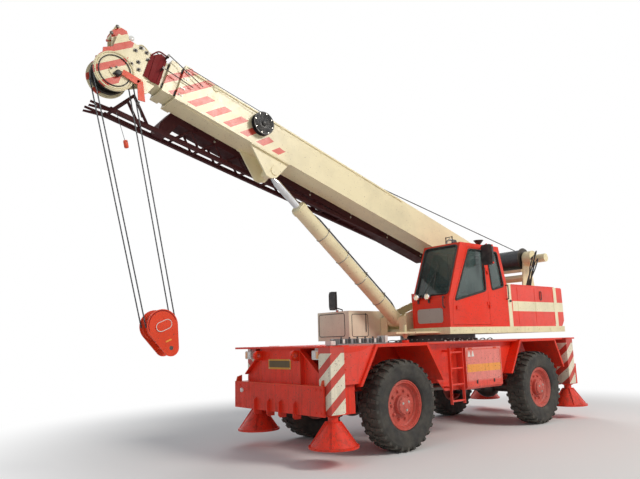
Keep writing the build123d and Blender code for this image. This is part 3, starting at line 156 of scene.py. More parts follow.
class Finish(Nodes):
    """A material under construction, in the object's own coordinates."""

    def __init__(self, name):
        self.material = bpy.data.materials.new(name)
        self.material.use_nodes = True
        super().__init__(self.material.node_tree)
        self.shader = self.tree.nodes["Principled BSDF"]
        self.place = self.node("ShaderNodeTexCoord").outputs["Object"]

    def parts(self, place=None):
        """The X, Y and Z of a place."""
        made = self.node("ShaderNodeSeparateXYZ")
        self.feed(made.inputs[0], place or self.place)
        return made.outputs

    def mapped(self, move=(0, 0, 0), turn=(0, 0, 0), stretch=(1, 1, 1)):
        return self.filled(self.node("ShaderNodeMapping"), self.place, move, turn, stretch)

    def noise(self, scale, detail=4.0, place=None, rough=0.55):
        return self.filled(self.node("ShaderNodeTexNoise"), place or self.place,
                           Scale=scale, Detail=detail, Roughness=rough)

    def span(self, value, low, high, to_low=0.0, to_high=1.0):
        """value, from low..high to to_low..to_high, held at its ends."""
        return self.filled(self.node("ShaderNodeMapRange"), value, low, high, to_low, to_high)

    def mix(self, share, a, b):
        made = self.node("ShaderNodeMix", data_type="RGBA")
        self.feed(made.inputs[0], share)
        self.feed(made.inputs[6], a)
        self.feed(made.inputs[7], b)
        return made.outputs[2]

    def between(self, value, low, high):
        """1 where value lies between low and high, else 0."""
        over = self.maths("GREATER_THAN", value, low)
        under = self.maths("LESS_THAN", value, high)
        return self.maths("MULTIPLY", over, under)

    def bands(self, value, start, pitch, width):
        """1 on every band of that width; the first one starts at start."""
        turn = self.maths("DIVIDE", self.maths("SUBTRACT", value, start), pitch)
        return self.maths("LESS_THAN", self.maths("FRACT", turn), width / pitch)

    def patchy(self, scale, detail, low, high, start=0.3, end=0.7):
        """Noise spread from low to high."""
        return self.span(self.noise(scale, detail), start, end, low, high)

    def ridged(self, value, count):
        """Sharp ridges, count to the metre."""
        turn = self.maths("FRACT", self.maths("MULTIPLY", value, count))
        return self.maths("ABSOLUTE", self.maths("SUBTRACT", turn, 0.5))

    def finish(self, colour=None, rough=None, metal=None, bump=None, strength=0.1, depth=0.01,
               **sockets):
        inputs = self.shader.inputs
        if colour is not None:
            self.feed(inputs["Base Color"], colour)
        if rough is not None:
            self.feed(inputs["Roughness"], rough)
        if metal is not None:
            inputs["Metallic"].default_value = metal
        if bump is not None:
            raised = self.filled(self.node("ShaderNodeBump"), Strength=strength, Distance=depth,
                                 Height=bump)
            self.link(raised, inputs["Normal"])
        for key, value in sockets.items():
            inputs[key.replace("_", " ").title().replace("Ior", "IOR")].default_value = value
        return self.material


def weathered(made, colour, fade=0.10, dirt_top=1.9, dirt=0.55, chips=0.66, gloss=0.30):
    """Paint with sun fading, a dust film that thickens downwards, streaks and chipped spots."""
    big = made.noise(0.7, 3)
    fine = made.noise(9.0, 6)
    pale = made.span(big, 0.35, 0.70, 0.0, fade)
    shown = made.mix(pale, colour, WHITE)
    dark = made.patchy(2.2, 5, 0.0, 0.16, 0.45, 0.75)
    shown = made.mix(dark, shown, DIRT)
    low = made.span(made.parts()[2], dirt_top, 0.35, 0.03, 1.0)
    streak = made.span(made.noise(5.5, 5, made.mapped(stretch=(4.0, 4.0, 0.35))), 0.48, 0.80, 0.0,
                       1.0)
    film = made.maths("MULTIPLY", made.maths("ADD", streak, made.span(fine, 0.4, 0.8, 0.0, 0.5)),
                      low)
    film = made.maths("MULTIPLY", film, dirt)
    shown = made.mix(made.maths("MINIMUM", film, 0.85), shown, DIRT)
    spots = made.maths("GREATER_THAN", made.noise(46.0, 3, rough=0.4), chips)
    shown = made.mix(made.maths("MULTIPLY", spots, 0.75), shown, PRIMER)
    rough = made.span(fine, 0.3, 0.75, gloss, gloss + 0.22)
    rough = made.maths("ADD", rough, made.maths("MULTIPLY", film, 0.4))
    grain = made.maths("SUBTRACT", made.noise(150.0, 2), made.maths("MULTIPLY", spots, 0.8))
    return shown, rough, grain


def paint(name, colour, coat=0.06, **how):
    made = Finish(name)
    shown, rough, grain = weathered(made, colour, **how)
    return made.finish(shown, rough, 0.0, grain, 0.06, 0.004,
                       coat_weight=coat, coat_roughness=0.2, specular_ior_level=0.3)


def banded(made, colour, strength=0.05, coat=0.2, coat_rough=0.15, **how):
    """Weathered paint over colours that a mask has mixed."""
    shown, rough, grain = weathered(made, colour, **how)
    return made.finish(shown, rough, 0.0, grain, strength, 0.004, coat_weight=coat,
                       coat_roughness=coat_rough)


def boom_place(made):
    """Texture places in the boom's own axes: X up the boom, Z out of its roof."""
    back = Matrix.Rotation(BOOM_ANGLE, 3, "Y") @ PIVOT
    return made.parts(made.mapped(move=tuple(-back), turn=(0, BOOM_ANGLE, 0)))


STRIPE_START = 6.295     # along the boom, in metres from its pivot
STRIPE_PITCH = 0.305
STRIPE_WIDTH = 0.145
FULL_STRIPES_FROM = 6.58 # past here the stripes run to the roof
HEAD_STRIPES_FROM = 7.35
ROOF_HALF = 0.069        # nearer the middle than this is roof or floor, and stays cream


def boom_paint(name, zone, start, pitch, width, rising):
    """Cream boom paint with red warning stripes that slant back as they rise up its sides."""
    made = Finish(name)
    u, y, w = boom_place(made)
    slant = made.maths("ADD", u, w)
    bands = made.bands(slant, start, pitch, width)
    on_side = made.maths("GREATER_THAN", made.maths("ABSOLUTE", y), ROOF_HALF)
    zoned = made.between(slant, *zone)
    mask = made.maths("MULTIPLY", made.maths("MULTIPLY", bands, on_side), zoned)
    if not rising:
        mask = made.maths("MULTIPLY", mask, made.maths("GREATER_THAN", u, HEAD_STRIPES_FROM))
    else:
        full = made.maths("GREATER_THAN", slant, FULL_STRIPES_FROM)
        top = made.span(slant, 4.85, 5.5, 0.145, 0.285)
        top = made.maths("ADD", top, full)
        under = made.maths("LESS_THAN", w, top)
        over = made.maths("GREATER_THAN", w, 0.028)
        mask = made.maths("MULTIPLY", mask, made.maths("MULTIPLY", under, over))
    colour = made.mix(mask, CREAM, (0.66, 0.058, 0.026))
    return banded(made, colour, fade=0.05, dirt=0.2, chips=0.70)


JACK_BOX = 0.256         # the jack housing's width
JACK_HEAD_Z = 1.505      # above this the housing is plain red


def jack_paint(name, corner_x, inner_y):
    """Red paint; the jack housing has cream diagonal bands under a plain red head."""
    made = Finish(name)
    x, y, z = made.parts()
    wide = made.maths("ABSOLUTE", y)
    lean = made.maths("SUBTRACT", made.maths("SUBTRACT", x, corner_x),
                      made.maths("SUBTRACT", wide, inner_y + JACK_BOX))
    height = made.maths("ADD", z, made.maths("MULTIPLY", lean, 0.8))
    red_band = made.bands(height, 0.69, 0.33, 0.135)
    plain = made.maths("ADD", made.maths("GREATER_THAN", z, JACK_HEAD_Z),
                       made.maths("LESS_THAN", wide, inner_y))
    mask = made.maths("MAXIMUM", red_band, made.maths("MINIMUM", plain, 1.0))
    colour = made.mix(mask, (0.84, 0.77, 0.60), (0.60, 0.030, 0.012))
    return banded(made, colour, fade=0.06, dirt=0.5, chips=0.67)


HOUSING_BAND_Z = (2.14, 2.33)


def body_paint(name):
    """Red housing paint with the cream bands that run round the rear housing."""
    made = Finish(name)
    x, y, z = made.parts()
    front = made.between(x, -0.785, -0.655)
    rear = made.between(x, -2.46, -2.34)
    level = made.maths("MULTIPLY", made.between(z, *HOUSING_BAND_Z),
                       made.maths("LESS_THAN", x, -0.815))
    mask = made.maths("MAXIMUM", made.maths("MAXIMUM", front, rear), level)
    outside = made.maths("GREATER_THAN", made.maths("ABSOLUTE", y), 1.19)
    tail = made.maths("MULTIPLY", made.maths("LESS_THAN", x, -2.68),
                      made.between(z, *HOUSING_BAND_Z))
    mask = made.maths("MAXIMUM", made.maths("MULTIPLY", mask, outside), tail)
    colour = made.mix(mask, RED, (0.86, 0.78, 0.52))
    return banded(made, colour, 0.05, 0.3, 0.1, fade=0.05, dirt_top=2.3, dirt=0.35, chips=0.70)


LID_X = (-0.25, 0.81)
LID_BAND_X = (-0.22, 0.78)
LID_BAND_Z = (1.085, 1.215)


def panel_paint(name):
    """Red side plates; the toolbox lids carry an orange band over a faded upper half."""
    made = Finish(name)
    x, y, z = made.parts()
    lid = made.maths("MULTIPLY", made.between(x, *LID_X),
                     made.maths("GREATER_THAN", made.maths("ABSOLUTE", y), 1.228))
    band = made.maths("MULTIPLY", made.maths("MULTIPLY", lid, made.between(z, *LID_BAND_Z)),
                      made.between(x, *LID_BAND_X))
    high = made.maths("MULTIPLY", lid, made.span(z, 0.92, 0.96))
    colour = made.mix(made.maths("MULTIPLY", high, 0.24), RED, WHITE)
    colour = made.mix(band, colour, ORANGE)
    return banded(made, colour, 0.06, fade=0.08, dirt=0.5, chips=0.67)


def metal(name, colour, rough=(0.28, 0.55), grime=0.5):
    made = Finish(name)
    fine = made.noise(24.0, 6)
    oily = made.patchy(3.0, 5, 0.0, grime, 0.42, 0.70)
    shown = made.mix(oily, colour, DIRT)
    lines = made.noise(90.0, 2, made.mapped(stretch=(1, 6, 1)))
    return made.finish(shown, made.span(fine, 0.3, 0.7, *rough), 0.9, lines, 0.08, 0.002)


def chrome(name):
    made = Finish(name)
    film = made.patchy(7.0, 5, 0.0, 0.35, 0.5, 0.8)
    shown = made.mix(film, (0.78, 0.78, 0.79), (0.30, 0.27, 0.22))
    return made.finish(shown, made.patchy(30.0, 4, 0.06, 0.22, 0.3, 0.8), 1.0)


def rubber(name, colour=(0.022, 0.021, 0.020), dust=0.35):
    made = Finish(name)
    dusty = made.patchy(5.0, 6, 0.0, dust, 0.42, 0.72)
    shown = made.mix(dusty, colour, (0.14, 0.125, 0.10))
    return made.finish(shown, made.patchy(14.0, 4, 0.62, 0.9), 0.0,
                       made.noise(120.0, 3), 0.12, 0.002)


def tyre_rubber(name, centre):
    """Tyre rubber with patchy grey dust that thickens on the tread, and moulded rings in its bump.
    """
    made = Finish(name)
    x, _, z = made.parts(made.mapped(move=tuple(-centre)))
    flat = made.maths("ADD", made.maths("MULTIPLY", x, x), made.maths("MULTIPLY", z, z))
    radius = made.maths("SQRT", flat)
    rings = made.bands(radius, 0.40, 0.024, 0.004)
    rings = made.maths("MULTIPLY", rings, made.between(radius, 0.44, 0.57))
    dusty = made.patchy(4.0, 6, 0.0, 0.55, 0.40, 0.70)
    outer = made.span(radius, 0.60, 0.655, 0.0, 0.5)
    dusty = made.maths("MINIMUM", made.maths("ADD", dusty, made.maths("MULTIPLY", outer,
            made.noise(18.0, 4))), 0.8)
    shown = made.mix(dusty, (0.026, 0.025, 0.023), (0.105, 0.095, 0.075))
    height = made.maths("ADD", made.maths("MULTIPLY", rings, 2.0), made.noise(70.0, 4))
    return made.finish(shown, made.patchy(12.0, 4, 0.66, 0.92), 0.0, height, 0.35, 0.004)


def rope_steel(name, axis, pitch=0.05):
    """Greased wire rope: slanting strands that wind round the line of the rope."""
    made = Finish(name)
    length = made.node("ShaderNodeVectorMath", operation="DOT_PRODUCT")
    made.feed(length.inputs[0], made.place)
    length.inputs[1].default_value = tuple(axis)
    y = made.parts()[1]
    wound = made.maths("ADD", made.maths("DIVIDE", length.outputs["Value"], pitch),
                       made.maths("MULTIPLY", y, 60.0))
    strand = made.maths("ABSOLUTE", made.maths("SUBTRACT", made.maths("FRACT", wound), 0.5))
    shown = made.mix(made.span(strand, 0.0, 0.5), (0.030, 0.032, 0.036), (0.13, 0.135, 0.14))
    return made.finish(shown, made.patchy(40.0, 3, 0.35, 0.6), 0.7, strand, 0.5, 0.003)


def glass(name, tint=GLASS_TINT):
    """Dark tinted safety glass with dusty patches."""
    made = Finish(name)
    smear = made.patchy(3.5, 5, 0.02, 0.16, 0.35, 0.75)
    shown = made.mix(made.patchy(1.4, 3, 0.0, 0.5, 0.4, 0.7), tint, (0.20, 0.26, 0.25))
    made.finish(shown, smear, 0.0, ior=1.45, coat_weight=0.5)
    made.shader.inputs["Alpha"].default_value = 0.62
    return made.material


def lens(name, colour, glow=0.0):
    """Ribbed lamp lens."""
    made = Finish(name)
    y = made.parts()[1]
    ribs = made.ridged(y, 110.0)
    shown = made.mix(made.patchy(20.0, 3, 0.0, 0.35), colour, WHITE)
    made.finish(shown, made.patchy(25.0, 3, 0.08, 0.25), 0.0, ribs, 0.5, 0.003, coat_weight=0.6)
    if glow:
        made.shader.inputs["Emission Color"].default_value = (*colour, 1)
        made.shader.inputs["Emission Strength"].default_value = glow
    return made.material


def plastic(name, colour, gloss=0.38):
    made = Finish(name)
    dusty = made.patchy(6.0, 5, 0.0, 0.22, 0.45, 0.75)
    shown = made.mix(dusty, colour, (0.30, 0.27, 0.22))
    return made.finish(shown, made.span(made.noise(18.0, 4), 0.3, 0.7, gloss, gloss + 0.25), 0.0,
                       made.noise(200.0, 2), 0.08, 0.001)


def cloth(name, colour, threads=260.0):
    """Woven seat cloth: crossed threads, so many to the metre, and a slight sheen."""
    made = Finish(name)
    x, y, z = made.parts()
    warp = made.ridged(y, threads)
    weft = made.ridged(made.maths("ADD", x, z), threads)
    weave = made.maths("MAXIMUM", warp, weft)
    shown = made.mix(made.span(weave, 0.1, 0.5), tuple(c * 0.55 for c in colour), colour)
    shown = made.mix(made.patchy(4.0, 5, 0.0, 0.3, 0.4, 0.7), shown, (0.16, 0.15, 0.13))
    return made.finish(shown, 0.88, 0.0, weave, 0.4, 0.002, sheen_weight=0.4)


def cast_iron(name):
    made = Finish(name)
    shown = made.mix(made.span(made.noise(6.0, 6), 0.4, 0.7), (0.075, 0.072, 0.068),
                     (0.18, 0.12, 0.08))
    return made.finish(shown, made.patchy(16.0, 4, 0.6, 0.85), 0.3, made.noise(60.0, 5), 0.4, 0.004)


# ---- shape building --------------------------------------------------------------------------
def placed(name, data):
    """A new object in the scene."""
    made = bpy.data.objects.new(name, data)
    bpy.context.scene.collection.objects.link(made)
    return made


def smoothed(mesh, sharp):
    mesh.shade_smooth()
    mesh.set_sharp_from_angle(angle=math.radians(sharp))


def add(name, bm, material, body, sharp=32.0):
    """Turn a bmesh into a piece of the crane that rides on a body, if one is given."""
    bmesh.ops.remove_doubles(bm, verts=bm.verts, dist=1e-5)
    bmesh.ops.recalc_face_normals(bm, faces=bm.faces)
    mesh = bpy.data.meshes.new(name)
    bm.to_mesh(mesh)
    bm.free()
    mesh.materials.append(MAT[material])
    smoothed(mesh, sharp)
    piece = placed(name, mesh)
    if body:
        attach(piece, body)
    return piece


def soften(bm, width, segments=1):
    """Round every sharp edge made so far."""
    edges = [e for e in bm.edges if len(e.link_faces) == 2 and e.calc_face_angle(0) > 0.6]
    bmesh.ops.bevel(bm, geom=edges, offset=width, segments=segments, affect="EDGES",
                    clamp_overlap=True)


def join(bm, other):
    """Add a second bmesh to the first."""
    mesh = bpy.data.meshes.new("spare")
    other.to_mesh(mesh)
    other.free()
    bm.from_mesh(mesh)
    bpy.data.meshes.remove(mesh)


def plate(bm, outline, origin, across, up, thick, round_by=0.0):
    """A flat plate: its (a, b) outline on two directions, raised by thick along their normal."""
    lone = bmesh.new()
    origin = Vector(origin)
    out = across.cross(up).normalized() * thick
    low = [lone.verts.new(origin + across * a + up * b) for a, b in outline]
    high = [lone.verts.new(v.co + out) for v in low]
    n = len(low)
    lone.faces.new(low[::-1])
    lone.faces.new(high)
    for k in range(n):
        lone.faces.new((low[k], low[(k + 1) % n], high[(k + 1) % n], high[k]))
    if round_by:
        soften(lone, round_by)
    join(bm, lone)


def block(bm, low, high, round_by=0.004):
    """A block between two corners, with softened edges."""
    low, high = Vector(low), Vector(high)
    size = high - low
    plate(bm, [(0, 0), (size.x, 0), (size.x, size.y), (0, size.y)], low, X, Y, size.z, round_by)


def oblong(width, height, corner, steps=5):
    """A rectangle's outline about its centre, with round corners."""
    points = []
    for k, (sx, sy) in enumerate(((1, 1), (-1, 1), (-1, -1), (1, -1))):
        cx, cy = sx * (width / 2 - corner), sy * (height / 2 - corner)
        for i in range(steps + 1):
            a = math.pi / 2 * (k + i / steps)
            points.append((cx + corner * math.cos(a), cy + corner * math.sin(a)))
    return points


def turned(bm, profile, centre, axis, steps=28):
    """(radius, distance) points turned about an axis; radius 0 closes an end."""
    centre, axis = Vector(centre), axis.normalized()
    side = axis.orthogonal().normalized()
    other = axis.cross(side)
    rings = []
    for r, h in profile:
        if r == 0:
            rings.append([bm.verts.new(centre + axis * h)])
            continue
        rings.append([bm.verts.new(p) for p in circle(centre + axis * h, side, other, r, steps)])
    pairs = list(zip(rings, rings[1:]))
    if profile[0][0] and profile[-1][0]:
        pairs.append((rings[-1], rings[0]))
    for one, two in pairs:
        for k in range(steps):
            j = (k + 1) % steps
            quad = (one[k % len(one)], one[j % len(one)], two[j % len(two)], two[k % len(two)])
            bm.faces.new(list(dict.fromkeys(quad)))


def bend(before, here, after, radius, share, steps):
    """A corner eased into a curve, which takes at most that share of either run."""
    cut = min(radius, (here - before).length * share, (after - here).length * share)
    a = here + (before - here).normalized() * cut
    b = here + (after - here).normalized() * cut
    times = [k / steps for k in range(steps + 1)]
    return [a * (1 - t) ** 2 + here * 2 * t * (1 - t) + b * t ** 2 for t in times]


def eased(points, radius=0.06, steps=5):
    """A path of straight runs with each corner eased into a curve."""
    points = [Vector(p) for p in points]
    path = [points[0]]
    for before, here, after in zip(points, points[1:], points[2:]):
        path += bend(before, here, after, radius, 0.45, steps)
    return path + [points[-1]]


def tube(bm, path, r, sides=10, closed=False):
    """A round bar or hose along a path."""
    path = [Vector(p) for p in path]
    n = len(path)
    rings = []
    side = None
    for k, p in enumerate(path):
        ahead = path[(k + 1) % n] if closed or k < n - 1 else p
        behind = path[k - 1] if closed or k else p
        way = (ahead - behind).normalized()
        side = way.orthogonal() if side is None else side - way * side.dot(way)
        side.normalize()
        other = way.cross(side)
        rings.append([bm.verts.new(at) for at in circle(p, side, other, r, sides)])
    pairs = list(zip(rings, rings[1:]))
    if closed:
        first = min(range(sides), key=lambda i: (rings[0][i].co - rings[-1][0].co).length)
        pairs.append((rings[-1], rings[0][first:] + rings[0][:first]))
    else:
        bm.faces.new(rings[0][::-1])
        bm.faces.new(rings[-1])
    for one, two in pairs:
        for i in range(sides):
            j = (i + 1) % sides
            bm.faces.new((one[i], one[j], two[j], two[i]))


def loop_of(outline, corner=0.04, steps=5):
    """A closed outline's points with eased corners."""
    points = [Vector(p) for p in outline]
    path = []
    for before, here, after in zip(points[-1:] + points, points, points[1:] + points[:1]):
        path += bend(before, here, after, corner, 0.4, steps)
    return path


# ---- repeats by Geometry Nodes ---------------------------------------------------------------
class Tree(Nodes):
    """A Geometry Nodes tree with named inputs, ending in Realize Instances and Set Material."""

    def __init__(self, name, **inputs):
        super().__init__(bpy.data.node_groups.new(name, "GeometryNodeTree"))
        face = self.tree.interface
        face.new_socket("Geometry", in_out="INPUT", socket_type="NodeSocketGeometry")
        for label, kind in {**inputs, "Material": "Material"}.items():
            face.new_socket(label.replace("_", " "), in_out="INPUT",
                            socket_type="NodeSocket" + kind)
        face.new_socket("Geometry", in_out="OUTPUT", socket_type="NodeSocketGeometry")
        self.given = self.node("NodeGroupInput").outputs
        self.out = self.node("NodeGroupOutput")

    def copies(self, points, shape):
        made = self.node("GeometryNodeInstanceOnPoints")
        self.link(points, made.inputs["Points"])
        self.link(shape, made.inputs["Instance"])
        return made

    def close(self, geometry):
        real = self.node("GeometryNodeRealizeInstances")
        coat = self.node("GeometryNodeSetMaterial")
        whole = self.filled(real, geometry)
        self.link(self.filled(coat, Geometry=whole, Material=self.given["Material"]),
                  self.out.inputs[0])
        return self.tree


def ring_tree():
    """Copies of a shape, evenly turned about the wheel's own axis, which is Y."""
    t = Tree("evenly_round", Count="Int", Phase="Float")
    line = t.node("GeometryNodeMeshLine")
    t.link(t.given["Count"], line.inputs["Count"])
    line.inputs["Offset"].default_value = (0, 0, 0)
    index = t.node("GeometryNodeInputIndex")
    step = t.maths("DIVIDE", 2 * math.pi, t.given["Count"])
    angle = t.maths("ADD", t.maths("MULTIPLY", index.outputs[0], step), t.given["Phase"])
    turn = t.node("ShaderNodeCombineXYZ")
    t.link(angle, turn.inputs["Y"])
    copies = t.copies(line.outputs[0], t.given["Geometry"])
    t.link(turn.outputs[0], copies.inputs["Rotation"])
    return t.close(copies.outputs[0])


def row_tree():
    """Copies of a shape at equal steps along a line."""
    t = Tree("in_a_row", Count="Int", Step="Vector")
    line = t.node("GeometryNodeMeshLine")
    t.link(t.given["Count"], line.inputs["Count"])
    t.link(t.given["Step"], line.inputs["Offset"])
    copies = t.copies(line.outputs[0], t.given["Geometry"])
    return t.close(copies.outputs[0])


def bolt_tree():
    """A washer and a hexagon head on every point, standing along the point's normal."""
    t = Tree("bolt_heads", Radius="Float", Height="Float")
    shapes = []
    # sides, then the radius, depth and lift as shares of the head's radius and height
    for sides, wide, tall, lift in ((6, 1.0, 1.0, 0.5), (14, 1.45, 0.28, 0.14)):
        made = t.node("GeometryNodeMeshCylinder")
        made.inputs["Vertices"].default_value = sides
        t.link(t.maths("MULTIPLY", t.given["Radius"], wide), made.inputs["Radius"])
        depth = t.maths("MULTIPLY", t.given["Height"], tall)
        t.link(depth, made.inputs["Depth"])
        up = t.node("ShaderNodeCombineXYZ")
        t.link(t.maths("MULTIPLY", t.given["Height"], lift), up.inputs["Z"])
        move = t.node("GeometryNodeTransform")
        t.link(made.outputs["Mesh"], move.inputs["Geometry"])
        t.link(up.outputs[0], move.inputs["Translation"])
        shapes.append(move.outputs[0])
    both = t.node("GeometryNodeJoinGeometry")
    for shape in shapes:
        t.link(shape, both.inputs[0])
    facing = t.node("GeometryNodeInputNamedAttribute", data_type="FLOAT_VECTOR")
    facing.inputs["Name"].default_value = "facing"
    turn = t.node("FunctionNodeAlignEulerToVector", axis="Z")
    t.link(facing.outputs["Attribute"], turn.inputs["Vector"])
    copies = t.copies(t.given["Geometry"], both.outputs[0])
    t.link(turn.outputs[0], copies.inputs["Rotation"])
    return t.close(copies.outputs[0])


def wound_tree():
    """A rope wound on a drum: a spiral, swept with a round section, turned to lie along Y."""
    t = Tree("wound_rope", Turns="Float", Radius="Float", Width="Float", Rope_Radius="Float",
             Middle="Vector")
    spiral = t.node("GeometryNodeCurveSpiral")
    spiral.inputs["Resolution"].default_value = 40
    t.link(t.given["Turns"], spiral.inputs["Rotations"])
    t.link(t.given["Radius"], spiral.inputs["Start Radius"])
    t.link(t.given["Radius"], spiral.inputs["End Radius"])
    t.link(t.given["Width"], spiral.inputs["Height"])
    ring = t.node("GeometryNodeCurvePrimitiveCircle")
    ring.inputs["Resolution"].default_value = 8
    t.link(t.given["Rope Radius"], ring.inputs["Radius"])
    sweep = t.node("GeometryNodeCurveToMesh")
    sweep.inputs["Fill Caps"].default_value = True
    t.link(spiral.outputs[0], sweep.inputs["Curve"])
    t.link(ring.outputs["Curve"], sweep.inputs["Profile Curve"])
    move = t.node("GeometryNodeTransform")
    t.link(sweep.outputs[0], move.inputs["Geometry"])
    t.link(t.given["Middle"], move.inputs["Translation"])
    move.inputs["Rotation"].default_value = (-math.pi / 2, 0, 0)
    return t.close(move.outputs[0])


TREES = {"ring": ring_tree(), "row": row_tree(), "bolts": bolt_tree(), "wound": wound_tree()}


def repeated(name, bm, tree, material, body, at=None, sharp=32.0, slot=None, **inputs):
    """Run a tree on a shape, keep the result as a plain mesh, and let it ride on a body."""
    mesh = bpy.data.meshes.new(name + "_seed")
    if len(bm.faces):
        bmesh.ops.recalc_face_normals(bm, faces=bm.faces)
    bm.to_mesh(mesh)
    bm.free()
    piece = placed(name, mesh)
    work = piece.modifiers.new("repeat", "NODES")
    work.node_group = TREES[tree]
    named = {s.name: s.identifier for s in TREES[tree].interface.items_tree if s.in_out == "INPUT"}
    for label, value in {**inputs, "Material": MAT[material]}.items():
        work[named[label.replace("_", " ")]] = value
    bpy.context.view_layer.update()
    seen = piece.evaluated_get(bpy.context.evaluated_depsgraph_get())
    final = bpy.data.meshes.new_from_object(seen)
    piece.modifiers.clear()
    piece.data = final
    bpy.data.meshes.remove(mesh)
    if at is not None:
        final.transform(Matrix.Translation(at))
    smoothed(final, sharp)
    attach(piece, body)
    return piece


def bolts(name, places, radius, height, material, body, slot=None):
    """Bolt heads at (place, outward direction) pairs."""
    mesh = bpy.data.meshes.new(name + "_points")
    mesh.from_pydata([tuple(p) for p, _ in places], [], [])
    facing = mesh.attributes.new("facing", "FLOAT_VECTOR", "POINT")
    for k, (_, way) in enumerate(places):
        facing.data[k].vector = way
    bm = bmesh.new()
    bm.from_mesh(mesh)
    bpy.data.meshes.remove(mesh)
    return repeated(name, bm, "bolts", material, body, Radius=radius, Height=height, slot=slot)


# ---- finishes --------------------------------------------------------------------------------
MAT = {
    "red": paint("carrier_red_paint", RED, fade=0.04),
    "bright": paint("bright_red_paint", (0.80, 0.065, 0.012), fade=0.05, dirt=0.3),
    "panel": panel_paint("side_plate_paint"),
    "body": body_paint("housing_paint"),
    "cream": paint("cream_paint", CREAM, fade=0.05, dirt_top=2.3, dirt=0.45, chips=0.70),
    "pale": paint("pale_side_box_paint", (0.84, 0.80, 0.62), fade=0.05, dirt_top=2.3, dirt=0.3,
                  chips=0.72),
    "rim": paint("rim_paint", RIM_RED, fade=0.22, dirt_top=1.9, dirt=0.45, chips=0.66, gloss=0.42),
    # the jib: maroon paint, made near black as painted shade
    "maroon": paint("jib_paint", MAROON, 0.0, fade=0.01, dirt_top=2.0, dirt=0.1, chips=0.72,
                    gloss=0.55),
    "cover": paint("boom_cover_paint", MAROON_EDGE, 0.0, fade=0.01, dirt_top=2.0, dirt=0.1,
                   chips=0.70, gloss=0.60),
    "block": paint("hook_block_paint", (0.80, 0.050, 0.006), fade=0.03, dirt_top=1.8, dirt=0.3,
                   chips=0.66),
    "white": paint("white_paint", (0.80, 0.78, 0.72), fade=0.0, dirt=0.25, chips=0.72),
    "orange": paint("orange_band_paint", ORANGE, fade=0.1, dirt=0.25, chips=0.72),
    "plate": paint("blank_plate_paint", PLATE_YELLOW, fade=0.05, dirt=0.3, chips=0.70),
    "plate_dark": paint("blank_plate_field", (0.10, 0.065, 0.02), fade=0.05, dirt=0.3, chips=0.72),
    "grey": paint("grey_front_panel", PANEL_GREY, fade=0.08, dirt=0.2, chips=0.74, gloss=0.5),
    "valves": paint("valve_grey_paint", (0.30, 0.31, 0.31), fade=0.1, dirt=0.5, chips=0.66),
    "base_boom": boom_paint("base_section_paint", (4.70, 7.10), STRIPE_START, STRIPE_PITCH,
                            STRIPE_WIDTH, True),
    "mid_boom": boom_paint("middle_section_paint", (6.60, 7.20), STRIPE_START, STRIPE_PITCH,
                           STRIPE_WIDTH, True),
    "tip_boom": boom_paint("top_section_paint", (7.10, 8.20), 7.135, 0.296, 0.132, False),
    "steel": metal("worn_steel", (0.36, 0.34, 0.31)),
    "dark_steel": metal("oily_steel", (0.12, 0.115, 0.11), grime=0.7),
    "bright_steel": metal("plated_bolts", (0.62, 0.60, 0.55), rough=(0.22, 0.42), grime=0.2),
    "chrome": chrome("hard_chrome"),
    "rubber": rubber("window_rubber", dust=0.15),
    "hose": rubber("hose_rubber", dust=0.25),
    "rope": rope_steel("falls_rope", FALLS),
    "lead_rope": rope_steel("hoist_rope", ALONG),
    "drum_rope": rope_steel("drum_rope", Z, 0.03),
    "glass": glass("tinted_glass"),
    "mirror": chrome("mirror_face"),
    "black": plastic("satin_black", BLACK),
    "black_gloss": plastic("black_moulding", (0.010, 0.010, 0.011), 0.2),
    "trim": plastic("cream_cab_trim", (0.74, 0.71, 0.58), 0.5),
    "head_lens": lens("head_lens", (0.90, 0.78, 0.55), 0.35),
    "clear_lens": lens("clear_lens", (0.75, 0.76, 0.74)),
    "amber_lens": lens("amber_lens", (0.85, 0.30, 0.02)),
    "red_lens": lens("red_lens", (0.55, 0.01, 0.006)),
    "cloth": cloth("seat_cloth", (0.060, 0.062, 0.070)),
    "iron": cast_iron("engine_iron"),
}
# a finish, and the frame's nodes that carry it; the rest are carrier red
FINISHED = {
    "cream": "turret_frame winch_frame lift_barrel",
    "pale": "side_box",
    "body": "rear_body counterweight",
    "panel": "side_panels",
    "base_boom": "boom_base",
    "mid_boom": "boom_mid",
    "tip_boom": "boom_tip",
    "chrome": "lift_rod",
    "dark_steel": "winch_drum head_sheaves hook front_axle rear_axle slew_ring",
    "maroon": "jib",
    "rope": "hoist_falls",
    "block": "hook_block",
    "steel": "driveline",
    "iron": "engine_block",
    "glass": "cab_glass door_glass",
    "black": "cab_fittings cable_reel cab_console",
    "white": "carrier_lamps",
    "cloth": "cab_seat",
    "valves": "valve_bank",
}
NODE_FINISH = {node: finish for finish, nodes in FINISHED.items() for node in nodes.split()}


def dress_nodes():
    """Give every node of the frame its finish."""
    for corner in CORNERS:
        NODE_FINISH["rim_" + corner] = "rim"
        NODE_FINISH["knuckle_" + corner] = "dark_steel"
        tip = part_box("outrigger_beam_" + corner)[1][0]
        jack_low, jack_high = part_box("jack_leg_" + corner)
        inner = (jack_low[1] + jack_high[1]) / 2 * side_of(corner) - 0.128
        key = "jack_" + corner
        MAT[key] = jack_paint("jack_paint_" + corner, tip, inner)
        NODE_FINISH["outrigger_beam_" + corner] = key
        centre = Vector(JOINTS["wheel_turn_" + corner]["pos_m"])
        MAT["tyre_" + corner] = tyre_rubber("tyre_rubber_" + corner, centre)
        NODE_FINISH["tyre_" + corner] = "tyre_" + corner
    for name, node in NODES.items():
        node.data.materials.clear()
        node.data.materials.append(MAT[NODE_FINISH.get(name, "red")])


# ---- wheels ----------------------------------------------------------------------------------
TREAD_R = 0.68
TREAD_BLOCKS = 30
